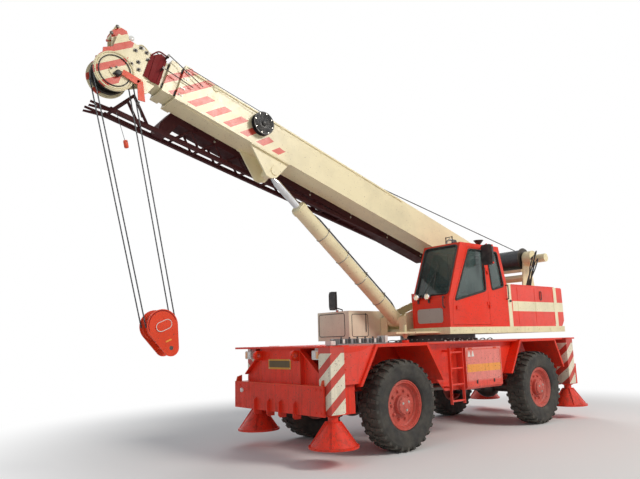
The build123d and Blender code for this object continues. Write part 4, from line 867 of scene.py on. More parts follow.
# radius, half width: one side of the carcass from the bead to the tread
TYRE_HALF = [
    (0.343, 0.124), (0.376, 0.124), (0.377, 0.146), (0.386, 0.161), (0.405, 0.173), (0.412, 0.178),
    (0.424, 0.180), (0.462, 0.192), (0.500, 0.1975), (0.548, 0.1985), (0.583, 0.195), (0.590,
            0.197),
    (0.600, 0.196), (0.612, 0.189), (0.632, 0.179), (0.646, 0.164), (0.653, 0.130), (0.657, 0.060),
]


def tread_block(bm, way, outline, base):
    """One tread block: (across, round) outline on the tread, with a dropped shoulder."""
    lone = bmesh.new()
    rows = []
    for drop in (0.0, 1.0):
        row = []
        for across, arc in outline:
            top = 0.684 - max(0.0, across - 0.135) * 0.42
            r = top - drop * (0.040 + max(0.0, across - 0.14) * 0.5)
            angle = (arc + base) / TREAD_R
            row.append(lone.verts.new((r * math.cos(angle), way * across, r * math.sin(angle))))
        rows.append(row)
    top, low = rows
    n = len(top)
    lone.faces.new(top)
    lone.faces.new(low[::-1])
    for k in range(n):
        lone.faces.new((top[k], low[k], low[(k + 1) % n], top[(k + 1) % n]))
    soften(lone, 0.0025)
    join(bm, lone)


def tyre(corner):
    """The carcass with its moulded rings, and two rows of open tread blocks on each side."""
    body = "wheel_" + corner
    centre = Vector(JOINTS["wheel_turn_" + corner]["pos_m"])
    bm = bmesh.new()
    turned(bm, TYRE_HALF + [(r, -h) for r, h in reversed(TYRE_HALF)], centre, Y, 96)
    carcass = add(f"tyre_{corner}_carcass", bm, "tyre_" + corner, body, 50)
    bm = bmesh.new()
    pitch = 2 * math.pi * TREAD_R / TREAD_BLOCKS
    inner = [(0.006, -0.030), (0.040, -0.036), (0.082, -0.030), (0.088, 0.018), (0.050, 0.026),
             (0.006, 0.030)]
    outer = [(0.100, -0.040), (0.150, -0.052), (0.190, -0.054), (0.190, -0.004), (0.150, 0.004),
             (0.098, 0.020)]
    for way, shift in ((1, 0.0), (-1, pitch / 2)):
        for outline in (inner, outer):
            tread_block(bm, way, outline, shift)
    repeated(f"tyre_{corner}_tread", bm, "ring", "tyre_" + corner, body, centre, 40,
             Count=TREAD_BLOCKS, Phase=0.03, slot="tyre")
    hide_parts("tyre_" + corner)


def wheel_fittings(corner):
    """Nuts on the studs, the hub's bolted cover with three plugs, the lock ring and the valve."""
    body = "wheel_" + corner
    centre = Vector(JOINTS["wheel_turn_" + corner]["pos_m"])
    out = Y * side_of(corner)
    bm = bmesh.new()
    turned(bm, [(0, 0.086), (0.012, 0.086), (0.0235, 0.080), (0.0235, 0.064), (0.032, 0.063),
                (0.032, 0.058), (0, 0.058)],
           X * 0.215, out, 6)
    repeated(f"wheel_{corner}_nuts", bm, "ring", "rim", body, centre, Count=10, Phase=0.0)
    bm = bmesh.new()
    turned(bm, [(0, 0.178), (0.046, 0.178), (0.058, 0.170), (0.100, 0.166), (0.112, 0.158),
                (0.132, 0.156), (0.136, 0.146), (0, 0.146)],
           centre, out, 40)
    turned(bm, [(0.349, 0.130), (0.372, 0.132), (0.375, 0.140), (0.370, 0.150), (0.356, 0.152),
                (0.349, 0.144)], centre, out, 64)
    turned(bm, [(0.300, 0.066), (0.318, 0.076), (0.326, 0.090), (0.318, 0.092), (0.300, 0.074),
                (0.290, 0.068)], centre, out, 64)
    add(f"wheel_{corner}_hub_cover", bm, "rim", body)
    places = []
    for count, r, height in ((12, 0.121, 0.157), (3, 0.072, 0.167)):
        places += [(p, out) for p in circle(centre + out * height, X, Z, r, count, 0.4)]
    bolts(f"wheel_{corner}_hub_bolts", places[:12], 0.0085, 0.009, "rim", body)
    bolts(f"wheel_{corner}_plugs", places[12:], 0.014, 0.012, "bright_steel", body)
    bm = bmesh.new()
    stem = centre + X * 0.262 + Z * 0.05
    tube(bm, eased([stem + out * 0.055, stem + out * 0.10, stem + X * 0.03 + out * 0.125], 0.02),
         0.006, 8)
    turned(bm, [(0, 0.030), (0.007, 0.030), (0.009, 0.024), (0.009, 0.0), (0, 0.0)],
           stem + X * 0.024 + out * 0.118, X + out * 0.8, 10)
    add(f"wheel_{corner}_valve", bm, "dark_steel", body)


# ---- carrier ---------------------------------------------------------------------------------
LUG_REACH = 0.16         # how far the towing lugs stand out from the end plates
LAMP_Z = 1.48
TAIL_Z = 0.955
LID_OUT = 1.2295         # the toolbox lids' outer face
VALVES = 6
VALVE_X = 2.645
VALVE_PITCH = 0.16
SLEW_BOLT_R = 0.743
DECK_SIDE = 1.190
AXLE_Z = 0.685


def front_face():
    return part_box("front_panel")[1][0] - LUG_REACH


def front_plate():
    """The blank plate between the towing lugs, with its riveted frame."""
    face = front_face()
    bm = bmesh.new()
    plate(bm, oblong(0.58, 0.15, 0.012), (face - 0.001, 0, 1.345), Y, Z, 0.007, 0.001)
    add("blank_front_plate", bm, "plate", "carrier")
    bm = bmesh.new()
    plate(bm, oblong(0.53, 0.10, 0.010), (face + 0.005, 0, 1.347), Y, Z, 0.003, 0.001)
    add("blank_front_plate_field", bm, "plate_dark", "carrier")
    places = [((face + 0.005, y, z), X) for y in (-0.272, 0.272) for z in (1.285, 1.405)]
    bolts("blank_front_plate_rivets", places, 0.006, 0.004, "bright_steel", "carrier")


def front_lamps():
    """Lens faces and bezels on the two headlamps, the round marker and the tail lamps."""
    low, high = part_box("carrier_lamps")
    face = front_face()
    bezel, clear, amber, red = bmesh.new(), bmesh.new(), bmesh.new(), bmesh.new()
    for side in (1, -1):
        y = side * 0.88
        plate(bezel, oblong(0.168, 0.128, 0.02), (face, y, LAMP_Z), Y, Z, 0.006, 0.001)
        plate(clear, oblong(0.078, 0.098, 0.012), (face + 0.005, y - side * 0.034, LAMP_Z), Y, Z,
              0.008, 0.003)
        plate(amber, oblong(0.050, 0.098, 0.012), (face + 0.005, y + side * 0.044, LAMP_Z), Y, Z,
              0.008, 0.003)
        for k, (store, wide) in enumerate(((red, 0.100), (amber, 0.070), (clear, 0.050))):
            at = Vector((low[0] + 0.002, side * (0.770 + k * 0.077), TAIL_Z))
            plate(store, oblong(wide - 0.006, 0.092, 0.010), at, Y, Z, -0.014, 0.003)
    turned(clear, [(0, 0.010), (0.020, 0.008), (0.029, 0.0), (0.029, -0.006), (0, -0.006)],
           (high[0], -0.915, 0.930), X, 24)
    add("headlamp_bezels", bezel, "white", "carrier")
    add("clear_lenses", clear, "clear_lens", "carrier", 60)
    add("amber_lenses", amber, "amber_lens", "carrier", 60)
    add("tail_lenses", red, "red_lens", "carrier", 60)


def guard_fittings():
    """The rounded knob lugs at the guard's ends, edge strips along the box, and bolt rows."""
    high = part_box("front_outrigger_box")[1]
    face = high[0] + 0.035
    bm = bmesh.new()
    for side in (1, -1):
        outline = [(-0.055, -0.095), (0.030, -0.070), (0.052, 0.0), (0.030, 0.070), (-0.055, 0.095)]
        plate(bm, outline, (face - 0.05, side * 1.098 - 0.012, 1.065), X, Z, -0.024, 0.006)
    add("guard_end_lugs", bm, "bright", "carrier")
    bm = bmesh.new()
    z = high[2] - 0.006
    block(bm, (face - 0.038, -1.132, z), (face + 0.004, 1.132, z + 0.010), 0.002)
    middle = front_face()
    for y in (-0.52, 0.508):
        block(bm, (middle - 0.004, y, high[2]), (middle + 0.004, y + 0.012, 1.55), 0.001)
    add("front_weld_strips", bm, "bright", "carrier")
    places = [((face, y, z), X) for y in (-1.09, -0.98, 0.98, 1.09) for z in (0.70, 1.01)]
    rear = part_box("rear_panel")[0][0] + LUG_REACH
    places += [((rear, y, z), -X) for y in (-0.46, -0.23, 0.0, 0.23, 0.46) for z in (1.10, 1.54)]
    for side in (1, -1):
        y = side * DECK_SIDE
        x1 = 3.54 if side > 0 else 3.26
        places += [((x1 - 0.02, y, z), Y * side) for z in (1.12, 1.27, 1.42, 1.54)]
    bolts("carrier_plate_bolts", places, 0.011, 0.009, "red", "carrier")


def deck_edges():
    """The rolled edge along the full-width bays, the quarter gussets, and the tread strips."""
    bm = bmesh.new()
    bays = ((2.946, 3.445), (-0.884, 1.734))
    for side in (1, -1):
        for x0, x1 in bays:
            end = x1 if side > 0 or x1 < 3 else x1 - 0.28
            block(bm, (x0, side * 1.186 - 0.006, 1.592), (end, side * 1.186 + 0.006, 1.616), 0.003)
    add("deck_edge_strips", bm, "rim", "carrier")
    bm = bmesh.new()
    for side in (1, -1):
        end = 3.56 if side > 0 else 3.28
        x0 = 3.07 if side > 0 else 2.99
        arc = [(x0, 1.578), (end, 1.578), (end, 1.50)]
        arc += [(end - (end - x0) * math.sin(a), 1.50 + 0.078 * (1 - math.cos(a))) for a in (0.3,
                0.6, 0.9, 1.2)]
        start = Vector((0, side * DECK_SIDE + (0.008 if side > 0 else 0), 0))
        plate(bm, arc, start, X, Z, 0.008, 0.001)
    add("quarter_gussets", bm, "red", "carrier")
    bm = bmesh.new()
    block(bm, (-0.006, -0.022, 0), (0.006, 0.022, 0.0035), 0.0015)
    bmesh.ops.rotate(bm, verts=bm.verts, cent=(0, 0, 0), matrix=Matrix.Rotation(0.7, 3, "Z"))
    other = bm.copy()
    bmesh.ops.rotate(other, verts=other.verts, cent=(0, 0, 0),
                     matrix=Matrix.Rotation(math.pi / 2, 3, "Z"))
    bmesh.ops.translate(other, verts=other.verts, vec=(0.045, 0.0, 0))
    join(bm, other)
    strip = bmesh.new()
    for row in range(9):
        lone = bm.copy()
        bmesh.ops.translate(lone, verts=lone.verts, vec=(0.0, -0.42 + row * 0.09, 0))
        join(strip, lone)
    bm.free()
    at = Vector((1.72, 0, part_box("deck")[1][2] - 0.045))
    repeated("deck_tread_marks", strip, "row", "red", "carrier", at, Count=18, Step=(0.095, 0, 0))


def toolbox_fittings():
    """Raised lids with hinges and latches, and the two small white triangles."""
    lid, black, white = bmesh.new(), bmesh.new(), bmesh.new()
    for side in (1, -1):
        base = Vector((0.28, side * LID_OUT, 1.165))
        frame_out = oblong(0.985, 0.60, 0.02)
        for (a0, b0), (a1, b1) in zip(frame_out, frame_out[1:] + frame_out[:1]):
            tube(lid, [base + X * a0 + Z * b0, base + X * a1 + Z * b1], 0.005, 6)
        for x in (-0.10, 0.62):
            block(lid, (x, base.y - 0.006, 1.462), (x + 0.09, base.y + 0.006, 1.485), 0.003)
            turned(lid, [(0, 0), (0.008, 0), (0.008, 0.09), (0, 0.09)],
                   (x, base.y + side * 0.006, 1.487), X, 10)
        for x in (0.02, 0.52):
            plate(black, oblong(0.034, 0.060, 0.012), (x, base.y, 0.915), X, Z, -0.010 * side,
                  0.002)
        for x in (0.60, 0.70):
            plate(white, [(-0.040, 0), (0.040, 0), (0.008, 0.092), (-0.008, 0.092)],
                  (x, base.y - side * 0.0005, 1.345), X, Z, -0.0035 * side)
    add("toolbox_lids", lid, "bright", "carrier")
    add("toolbox_latches", black, "black", "carrier")
    add("toolbox_triangles", white, "white", "carrier")


def valve_fittings():
    """Cover plates, lever knobs, the dark rail and the white box on the outrigger valves."""
    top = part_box("valve_bank")[1][2]
    white, black, grey = bmesh.new(), bmesh.new(), bmesh.new()
    for k in range(VALVES):
        x = VALVE_X + k * VALVE_PITCH
        block(white if k % 2 else grey, (x - 0.045, 1.052, 1.634), (x - 0.004, 1.068, 1.692), 0.003)
        block(black, (x + 0.006, 1.052, 1.630), (x + 0.044, 1.070, 1.696), 0.003)
        turned(black, [(0, 0.034), (0.008, 0.032), (0.014, 0.022), (0.013, 0.010), (0.008, 0.0),
                       (0, 0.0)],
               (x, 1.040, top - 0.033), Z, 14)
        for dy in (0.0, 0.026):
            tube(black, eased([(x - 0.02, 0.925 + dy, 1.660), (x - 0.02, 0.88 + dy, 1.664),
                               (x - 0.03, 0.86 + dy, 1.628),
                               (x - 0.12, 0.855 + dy, 1.624)], 0.02), 0.009, 8)
    block(white, (2.52, 0.905, 1.628), (2.575, 1.078, 1.735), 0.008)
    block(white, (3.575, 0.93, 1.612), (3.66, 1.06, 1.672), 0.006)
    add("valve_white_covers", white, "white", "carrier")
    add("valve_black_parts", black, "black", "carrier")
    add("valve_grey_covers", grey, "valves", "carrier")


def slew_fittings():
    """Bolt circle on the slew ring, and the hoses and their ends on the deck beside it."""
    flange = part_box("slew_ring")[0][2] + 0.036
    places = [(p, Z) for p in circle((0, 0, flange), X, Y, SLEW_BOLT_R, 40)]
    bolts("slew_ring_bolts", places, 0.011, 0.014, "bright_steel", "carrier")
    hoses, fittings = bmesh.new(), bmesh.new()
    for side in (1, -1):
        for k in range(6):
            x = -0.55 + k * 0.26
            y = side * (0.86 + 0.02 * (k % 3))
            points = [(x, y, 1.618), (x, y, 1.640), (x + 0.10, y + side * 0.03, 1.652),
                      (x + 0.20, y + side * 0.05, 1.640),
                      (x + 0.21, y + side * 0.05, 1.618)]
            tube(hoses, eased(points, 0.03), 0.008, 8)
            for end in (points[0], points[-1]):
                turned(fittings, [(0, 0.030), (0.013, 0.030), (0.018, 0.022), (0.018, 0.0),
                                  (0, 0.0)], (end[0], end[1], 1.610), Z, 6)
    add("swivel_hoses", hoses, "hose", "carrier")
    add("swivel_hose_ends", fittings, "bright_steel", "carrier")


def axle_fittings():
    """The lower bolts of the differential covers."""
    for axle, x in (("front_axle", 2.33), ("rear_axle", -1.53)):
        way = 1 if x > 0 else -1
        ring = circle((x + way * 0.128, 0, AXLE_Z), Y, Z, 0.212, 14)
        places = [(p, X * way) for p in ring if p.z < 0.84]
        bolts(axle + "_cover_bolts", places, 0.012, 0.014, "steel", "carrier")


def jack_fittings(corner):
    """The flanged collar under a jack's housing, and its bolted cap."""
    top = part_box("outrigger_beam_" + corner)[1][2]
    leg_low, leg_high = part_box("jack_leg_" + corner)
    x = (leg_low[0] + leg_high[0]) / 2
    y = (leg_low[1] + leg_high[1]) / 2
    body = "outrigger_" + corner
    bm = bmesh.new()
    turned(bm, [(0.082, 0.006), (0.118, 0.006), (0.122, 0.0), (0.112, -0.014), (0.082, -0.030)],
           (x, y, 0.675), Z, 36)
    plate(bm, oblong(0.262, 0.262, 0.012), (x, y, top - 0.004), X, Y, 0.012, 0.003)
    add(f"jack_{corner}_collar", bm, "red", body)
    places = [(p, Z) for p in circle((x, y, top + 0.008), X, Y, 0.098, 4, math.pi / 4)]
    bolts(f"jack_{corner}_cap_bolts", places, 0.011, 0.010, "red", body)


def tow_lug_rings():
    """The wear rings round the towing lugs' shackle bores."""
    bm = bmesh.new()
    for x0, y in ((3.885, 0.48), (3.885, -0.48), (-3.23, 0.48), (-3.23, -0.48)):
        for s in (1, -1):
            turned(bm, [(0.033, 0.0), (0.050, 0.0), (0.052, 0.004), (0.050, 0.008), (0.033, 0.008)],
                   (x0, y + s * 0.0245, 1.475), Y * s, 28)
    add("tow_lug_wear_rings", bm, "bright", "carrier")


# ---- cab -------------------------------------------------------------------------------------
CAB_OUT = 1.200          # the cab's outer wall
CAB_IN = 0.375           # its wall beside the boom
SEAT_Y = 0.78
MIRROR_Z = 3.13
DOOR_WINDOW = [(0.945, 2.305), (0.465, 3.235), (0.05, 3.235), (0.025, 2.5)]
QUARTER_WINDOW = [(-0.075, 3.225), (-0.395, 3.235), (-0.545, 2.6), (-0.17, 2.52)]
RIGHT_WINDOW = [(0.9, 2.4), (0.48, 3.225), (0.05, 3.225), (0.025, 2.5)]
SCREEN_FOOT, SCREEN_HEAD = Vector((1.11, 0, 2.33)), Vector((0.69, 0, 3.345))


def window_seal(bm, outline, y, out):
    """A rubber strip round a side window, standing slightly off the wall."""
    path = loop_of([(x, y + out * 0.002, z) for x, z in outline], 0.05, 5)
    tube(bm, path, 0.015, 8, closed=True)


def cab_seals():
    """Window rubbers on every pane; the door's ride on the door."""
    bm = bmesh.new()
    window_seal(bm, DOOR_WINDOW, CAB_OUT, 1)
    add("door_window_rubber", bm, "rubber", "cab_door", 60)
    bm = bmesh.new()
    window_seal(bm, QUARTER_WINDOW, CAB_OUT, 1)
    window_seal(bm, QUARTER_WINDOW, CAB_IN, -1)
    window_seal(bm, RIGHT_WINDOW, CAB_IN, -1)
    up = (SCREEN_HEAD - SCREEN_FOOT).normalized()
    face = Vector((up.z, 0, -up.x)) * 0.004
    ends = [SCREEN_FOOT + up * d + face for d in (0.095, 1.045)]
    corners = [ends[0] + Y * 0.43, ends[0] + Y * 1.155, ends[1] + Y * 1.155, ends[1] + Y * 0.43]
    tube(bm, loop_of(corners, 0.07, 6), 0.017, 8, closed=True)
    hip, back = Vector((-0.66, 0, 2.64)), Vector((-0.47, 0, 3.345))
    down = (hip - back).normalized()
    ends = [back + down * d + Vector((down.z, 0, -down.x)) * 0.004 for d in (0.05, 0.64)]
    corners = [ends[0] + Y * 0.485, ends[0] + Y * 1.09, ends[1] + Y * 1.09, ends[1] + Y * 0.485]
    tube(bm, loop_of(corners, 0.06, 5), 0.014, 8, closed=True)
    add("cab_window_rubbers", bm, "rubber", "superstructure", 60)


def cab_front():
    """The grey front panel with its screws, the wiper, grab rails and driving lamp lenses."""
    bm = bmesh.new()
    plate(bm, oblong(0.56, 0.25, 0.05), (1.1105, 0.775, 2.055), Y, Z, 0.008, 0.003)
    add("cab_front_panel", bm, "grey", "superstructure")
    places = [((1.118, y, z), X) for y in (0.53, 0.775, 1.02) for z in (1.955, 2.155)]
    bolts("cab_front_screws", places, 0.008, 0.005, "steel", "superstructure")
    lens_bm, rim = bmesh.new(), bmesh.new()
    for y in (0.53, 0.77):
        at = Vector((1.172, y, 2.39))
        turned(lens_bm, [(0, 0.012), (0.022, 0.010), (0.038, 0.004), (0.043, -0.002), (0, -0.002)],
               at, X, 28)
        turned(rim, [(0.043, -0.006), (0.043, 0.004), (0.048, 0.008), (0.054, 0.004),
                     (0.054, -0.030), (0.050, -0.034)], at, X, 28)
    turned(lens_bm, [(0, 0.010), (0.030, 0.007), (0.049, -0.002), (0, -0.002)],
           (0.446, 0.78, 3.425), X, 28)
    turned(rim, [(0.049, -0.004), (0.049, 0.006), (0.056, 0.008), (0.062, 0.002), (0.062, -0.03),
                 (0.058, -0.034)],
           (0.446, 0.78, 3.425), X, 28)
    add("driving_lamp_lenses", lens_bm, "head_lens", "superstructure", 60)
    add("driving_lamp_rims", rim, "chrome", "superstructure")
    bm = bmesh.new()
    up = (SCREEN_HEAD - SCREEN_FOOT).normalized()
    off = Vector((up.z, 0, -up.x)) * 0.016
    foot = SCREEN_FOOT + up * 0.05 + off + Y * 0.62
    tube(bm, [foot, foot + up * 0.46 + Y * 0.16], 0.006, 8)
    blade = foot + up * 0.18 + Y * 0.20
    tube(bm, [blade, blade + up * 0.50 - Y * 0.03], 0.007, 6)
    turned(bm, [(0, 0.020), (0.016, 0.018), (0.018, 0.0), (0, -0.014)], foot, off, 16)
    add("windscreen_wiper", bm, "black", "superstructure")
    bm = bmesh.new()
    for points in (((1.105, 1.10, 2.36), (1.155, 1.10, 2.38), (1.155, 1.10, 2.20),
                    (1.105, 1.10, 2.18)),
                   ((-0.62, 1.19, 2.36), (-0.62, 1.25, 2.36), (-0.62, 1.25, 2.62),
                    (-0.62, 1.19, 2.62))):
        tube(bm, eased(points, 0.02), 0.010, 8)
    add("cab_grab_rails", bm, "black", "superstructure")


def cab_trim():
    """The cream hoop inside the door window, the headlining, the dash gauges and wheel spokes."""
    bm = bmesh.new()
    path = loop_of([(0.80, 1.120, 2.42), (0.44, 1.120, 3.15), (-0.02, 1.120, 3.15),
                    (-0.05, 1.120, 2.42)], 0.16, 8)
    tube(bm, path, 0.016, 8, closed=True)
    plate(bm, oblong(1.02, 0.66, 0.05), (0.10, 0.785, 3.292), X, Y, -0.016, 0.004)
    block(bm, (-0.55, 0.44, 2.20), (-0.50, 1.13, 2.66), 0.012)
    add("cab_lining", bm, "trim", "superstructure")
    bm = bmesh.new()
    for y in (0.70, 0.86):
        turned(bm, [(0, 0.004), (0.024, 0.004), (0.030, 0.012), (0.034, 0.008), (0.034, -0.004),
                    (0, -0.004)],
               (0.640, y, 2.46), -X, 24)
    head = Vector((0.56, SEAT_Y, 2.56))
    way = Vector((-0.24, 0, 0.665)).normalized()
    side = way.orthogonal().normalized()
    other = way.cross(side)
    for a in around(3, 0.5):
        out = side * math.cos(a) + other * math.sin(a)
        tube(bm, [head - way * 0.015 + out * 0.03, head + out * 0.178], 0.010, 8)
    turned(bm, [(0, 0.020), (0.034, 0.012), (0.040, -0.006), (0, -0.02)], head, way, 20)
    add("cab_gauges_and_spokes", bm, "black_gloss", "superstructure")


def cab_seat():
    """The seat in cloth: cushion, back and headrest puffed up between piped seams."""
    source = NODES["cab_seat"]
    bm = bmesh.new()
    bm.from_mesh(source.data)
    bm.transform(source.matrix_world)
    bmesh.ops.remove_doubles(bm, verts=bm.verts, dist=1e-5)
    bmesh.ops.dissolve_limit(bm, angle_limit=0.02, verts=bm.verts, edges=bm.edges)
    soften(bm, 0.034, 4)
    bmesh.ops.triangulate(bm, faces=[f for f in bm.faces if len(f.verts) > 4])
    bmesh.ops.subdivide_edges(bm, edges=[e for e in bm.edges if e.calc_length() > 0.06], cuts=5,
                              use_grid_fill=True)
    bm.normal_update()
    for v in bm.verts:
        groove = 0.004 * math.exp(-((abs(v.co.y - SEAT_Y) - 0.12) / 0.010) ** 2)
        v.co -= v.normal * groove
    piece = add("seat_cushions", bm, "cloth", "superstructure", 50)
    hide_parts("cab_seat")


def mirrors():
    """Reflecting faces and shells of the two mirrors, facing the cab."""
    bm = bmesh.new()
    plate(bm, oblong(0.205, 0.31, 0.03), (0.1305, 1.375, MIRROR_Z), Y, Z, -0.004, 0.001)
    add("left_mirror_face", bm, "mirror", "cab_door")
    bm = bmesh.new()
    plate(bm, oblong(0.235, 0.37, 0.06), (0.129, 1.375, MIRROR_Z), Y, Z, 0.050, 0.014)
    add("left_mirror_shell", bm, "black", "cab_door")
    bm = bmesh.new()
    plate(bm, oblong(0.155, 0.30, 0.05), (2.0755, -0.67, 2.395), Y, Z, -0.004, 0.001)
    turned(bm, [(0, 0.030), (0.022, 0.022), (0.030, 0.0), (0.022, -0.022), (0, -0.030)],
           (2.060, -0.600, 2.215), Z, 20)
    add("right_mirror_face", bm, "mirror", "superstructure")
    bm = bmesh.new()
    plate(bm, oblong(0.185, 0.34, 0.07), (2.0745, -0.67, 2.395), Y, Z, 0.042, 0.014)
    add("right_mirror_shell", bm, "black", "superstructure")


# ---- housings --------------------------------------------------------------------------------
def housing_fittings():
    """Handles, hinges, lids' seams and bolts on the rear housing, the side box and the base."""
    black = bmesh.new()
    path = loop_of([(-1.80, 1.206, 2.54), (-1.80, 1.206, 2.37), (-1.86, 1.206, 2.37),
                    (-1.86, 1.206, 2.54)], 0.03, 4)
    tube(black, path, 0.008, 6, closed=True)
    turned(black, [(0, 0.034), (0.020, 0.030), (0.024, 0.018), (0.012, 0.010), (0.012, 0), (0, 0)],
           (-0.72, 1.200, 2.33), Y, 18)
    front = 2.0305
    seal = [(front, -1.16, 1.75), (front, -1.16, 2.16), (front, -0.44, 2.16), (front, -0.44, 1.75)]
    tube(black, loop_of(seal, 0.05, 4), 0.007, 6, closed=True)
    side = -0.3245
    seal = [(1.96, side, 1.74), (1.96, side, 2.14), (1.56, side, 2.14), (1.56, side, 1.74)]
    tube(black, loop_of(seal, 0.04, 4), 0.006, 6, closed=True)
    tube(black, [(1.62, side + 0.012, 1.82), (1.62, side + 0.012, 2.16)], 0.007, 8)
    add("housing_black_fittings", black, "black", "superstructure")
    seams = bmesh.new()
    for x in (-2.33, -1.62, -1.00):
        block(seams, (x - 0.007, 1.197, 1.90), (x + 0.007, 1.205, 2.60), 0.002)
        block(seams, (x - 0.007, -1.205, 1.90), (x + 0.007, -1.197, 2.60), 0.002)
    block(seams, (-2.39, 1.186, 2.634), (-0.67, 1.207, 2.652), 0.004)
    block(seams, (-2.39, -1.207, 2.634), (-0.67, -1.186, 2.652), 0.004)
    add("housing_seams", seams, "body", "superstructure")
    places = [((x, s * 1.2, 1.80), Y * s) for s in (1, -1) for x in (-2.5, -2.1, -1.7, -1.3, -0.9,
            0.0, 0.5, 1.0)]
    places += [((-2.69, y, z), -X) for y in (-1.05, -0.55, 0.0, 0.55, 1.05) for z in (2.10, 2.54)]
    bolts("base_edge_bolts", places, 0.013, 0.010, "cream", "superstructure")
    places = [(p, Y * s) for s in (1, -1) for p in circle((0.46, s * 0.276, 2.16), X, Z, 0.10, 6)]
    bolts("turret_plate_bolts", places, 0.014, 0.012, "cream", "superstructure")


def winch_fittings():
    """The rope wound on the drum, and the winch's motor hoses, fittings and bolted end plate."""
    low = Vector((DRUM.x, -0.335, DRUM.z))
    repeated("drum_rope", bmesh.new(), "wound", "drum_rope", "winch_drum", None, 60,
             Turns=58.0, Radius=0.208, Width=0.88, Rope_Radius=0.0085, Middle=low)
    hoses, ends = bmesh.new(), bmesh.new()
    for k in range(6):
        z = 3.12 + 0.055 * k
        start = Vector((-2.33 + 0.03 * (k % 2), 0.80 + 0.05 * (k % 3), z))
        path = [start, start + Vector((0.12, 0.12, 0.05)), start + Vector((0.24, 0.10, -0.18)),
                (-2.10 + 0.03 * k, 0.88, 2.80),
                (-2.08 + 0.03 * k, 0.84, 2.64)]
        tube(hoses, eased(path, 0.09, 6), 0.0125, 8)
        turned(ends, [(0, 0.0), (0.020, 0.0), (0.020, 0.026), (0.014, 0.032), (0, 0.032)], start,
               Vector((1, 1, 0.4)), 6)
    add("winch_hoses", hoses, "hose", "superstructure", 60)
    add("winch_hose_ends", ends, "bright_steel", "superstructure")
    places = [((DRUM.x + 0.165 * math.cos(a), 0.700, DRUM.z + 0.145 * math.sin(a)),
               Y) for a in around(10)]
    bolts("winch_end_bolts", places, 0.012, 0.012, "cream", "superstructure")


# ---- boom ------------------------------------------------------------------------------------
REEL = (5.19, 0.33)      # u, w of the cable reel's centre
HEAD_PIN = (7.453, -0.082)


def hoist_rope():
    """The lead rope: from the drum to the roller, then along the boom in runs that telescope."""
    bm = bmesh.new()
    start = Vector((-2.50, 0.30, 3.552))
    roller = boom(2.84, 0.0, 0.597)
    tube(bm, [start, roller], 0.0095, 8)
    piece = add("lead_rope_at_the_drum", bm, "lead_rope", None, 60)
    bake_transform(piece)
    head = boom(7.30, 0.075, 0.20)
    for body, last, r in (("boom_base", 0.82, 0.0095), ("boom_mid", 0.86, 0.0090),
                          ("boom_tip", 1.0, 0.0085)):
        end = roller.lerp(head, last)
        bm = bmesh.new()
        tube(bm, [roller.lerp(end, k / 12) for k in range(13)], r, 8)
        add("lead_rope_" + body, bm, "lead_rope", body, 60)


def boom_fittings():
    """Clips, wear pads, seams and bolt rows along the sections, and the cable reel's face."""
    clips = bmesh.new()
    for u in (2.25, 3.10, 3.95, 4.80, 5.65):
        block_on(clips, u, 0.222, 0.478, 0.050, 0.012, 0.022)
    tube(clips, [boom(1.9, 0.229, 0.492), boom(6.46, 0.229, 0.492)], 0.006, 8)
    turned(clips, [(0, 0.022), (0.045, 0.018), (0.060, 0.0), (0, 0.0)], boom(6.06, 0.219, 0.475), Y,
           24)
    add("boom_side_clips", clips, "cream", "boom_base")
    pads = bmesh.new()
    for side in (1, -1):
        for w in (0.04, 0.42):
            block_on(pads, 6.606, side * 0.186, w + 0.02, 0.030, 0.020, 0.085)
    add("base_section_wear_pads", pads, "black", "boom_base")
    pads = bmesh.new()
    for side in (1, -1):
        for w in (0.07, 0.39):
            block_on(pads, 6.806, side * 0.152, w + 0.02, 0.026, 0.018, 0.075)
    add("middle_section_wear_pads", pads, "black", "boom_mid")
    places = [(boom(u, side * 0.236, w), Y * side) for side in (1, -1) for u in (6.52,
            6.56) for w in (0.06, 0.17, 0.33, 0.44)]
    bolts("collar_bolts", places, 0.011, 0.010, "steel", "boom_base")
    u, w = REEL
    reel = bmesh.new()
    turns = [boom(u + r * math.cos(a), 0.3265, w + r * math.sin(a))
             for a, r in ((k * 0.30, 0.060 + k * 0.30 * 0.0032) for k in range(116))]
    tube(reel, turns, 0.0058, 6)
    turned(reel, [(0, 0.030), (0.030, 0.028), (0.046, 0.016), (0.046, 0.0), (0, 0.0)],
           boom(u, 0.326, w), Y, 24)
    add("reel_cable_and_hub", reel, "black_gloss", "boom_base", 50)
    places = [(p, Y) for p in circle(boom(u, 0.326, w), ALONG, SQUARE, 0.16, 8)]
    bolts("reel_screws", places, 0.007, 0.006, "bright_steel", "boom_base")
    cable = bmesh.new()
    tube(cable, [boom(5.27, 0.30, 0.49), boom(6.58, 0.262, 0.50)], 0.005, 8)
    add("reel_cable_run", cable, "hose", "boom_base")


def block_on(bm, u, y, w, long, wide, tall):
    """A softened block in the boom's own axes, centred on a place."""
    at = boom(u, y - wide / 2, w)
    plate(bm, oblong(long, tall, min(long, tall) * 0.18, 2), at, ALONG, -SQUARE, wide, 0.002)


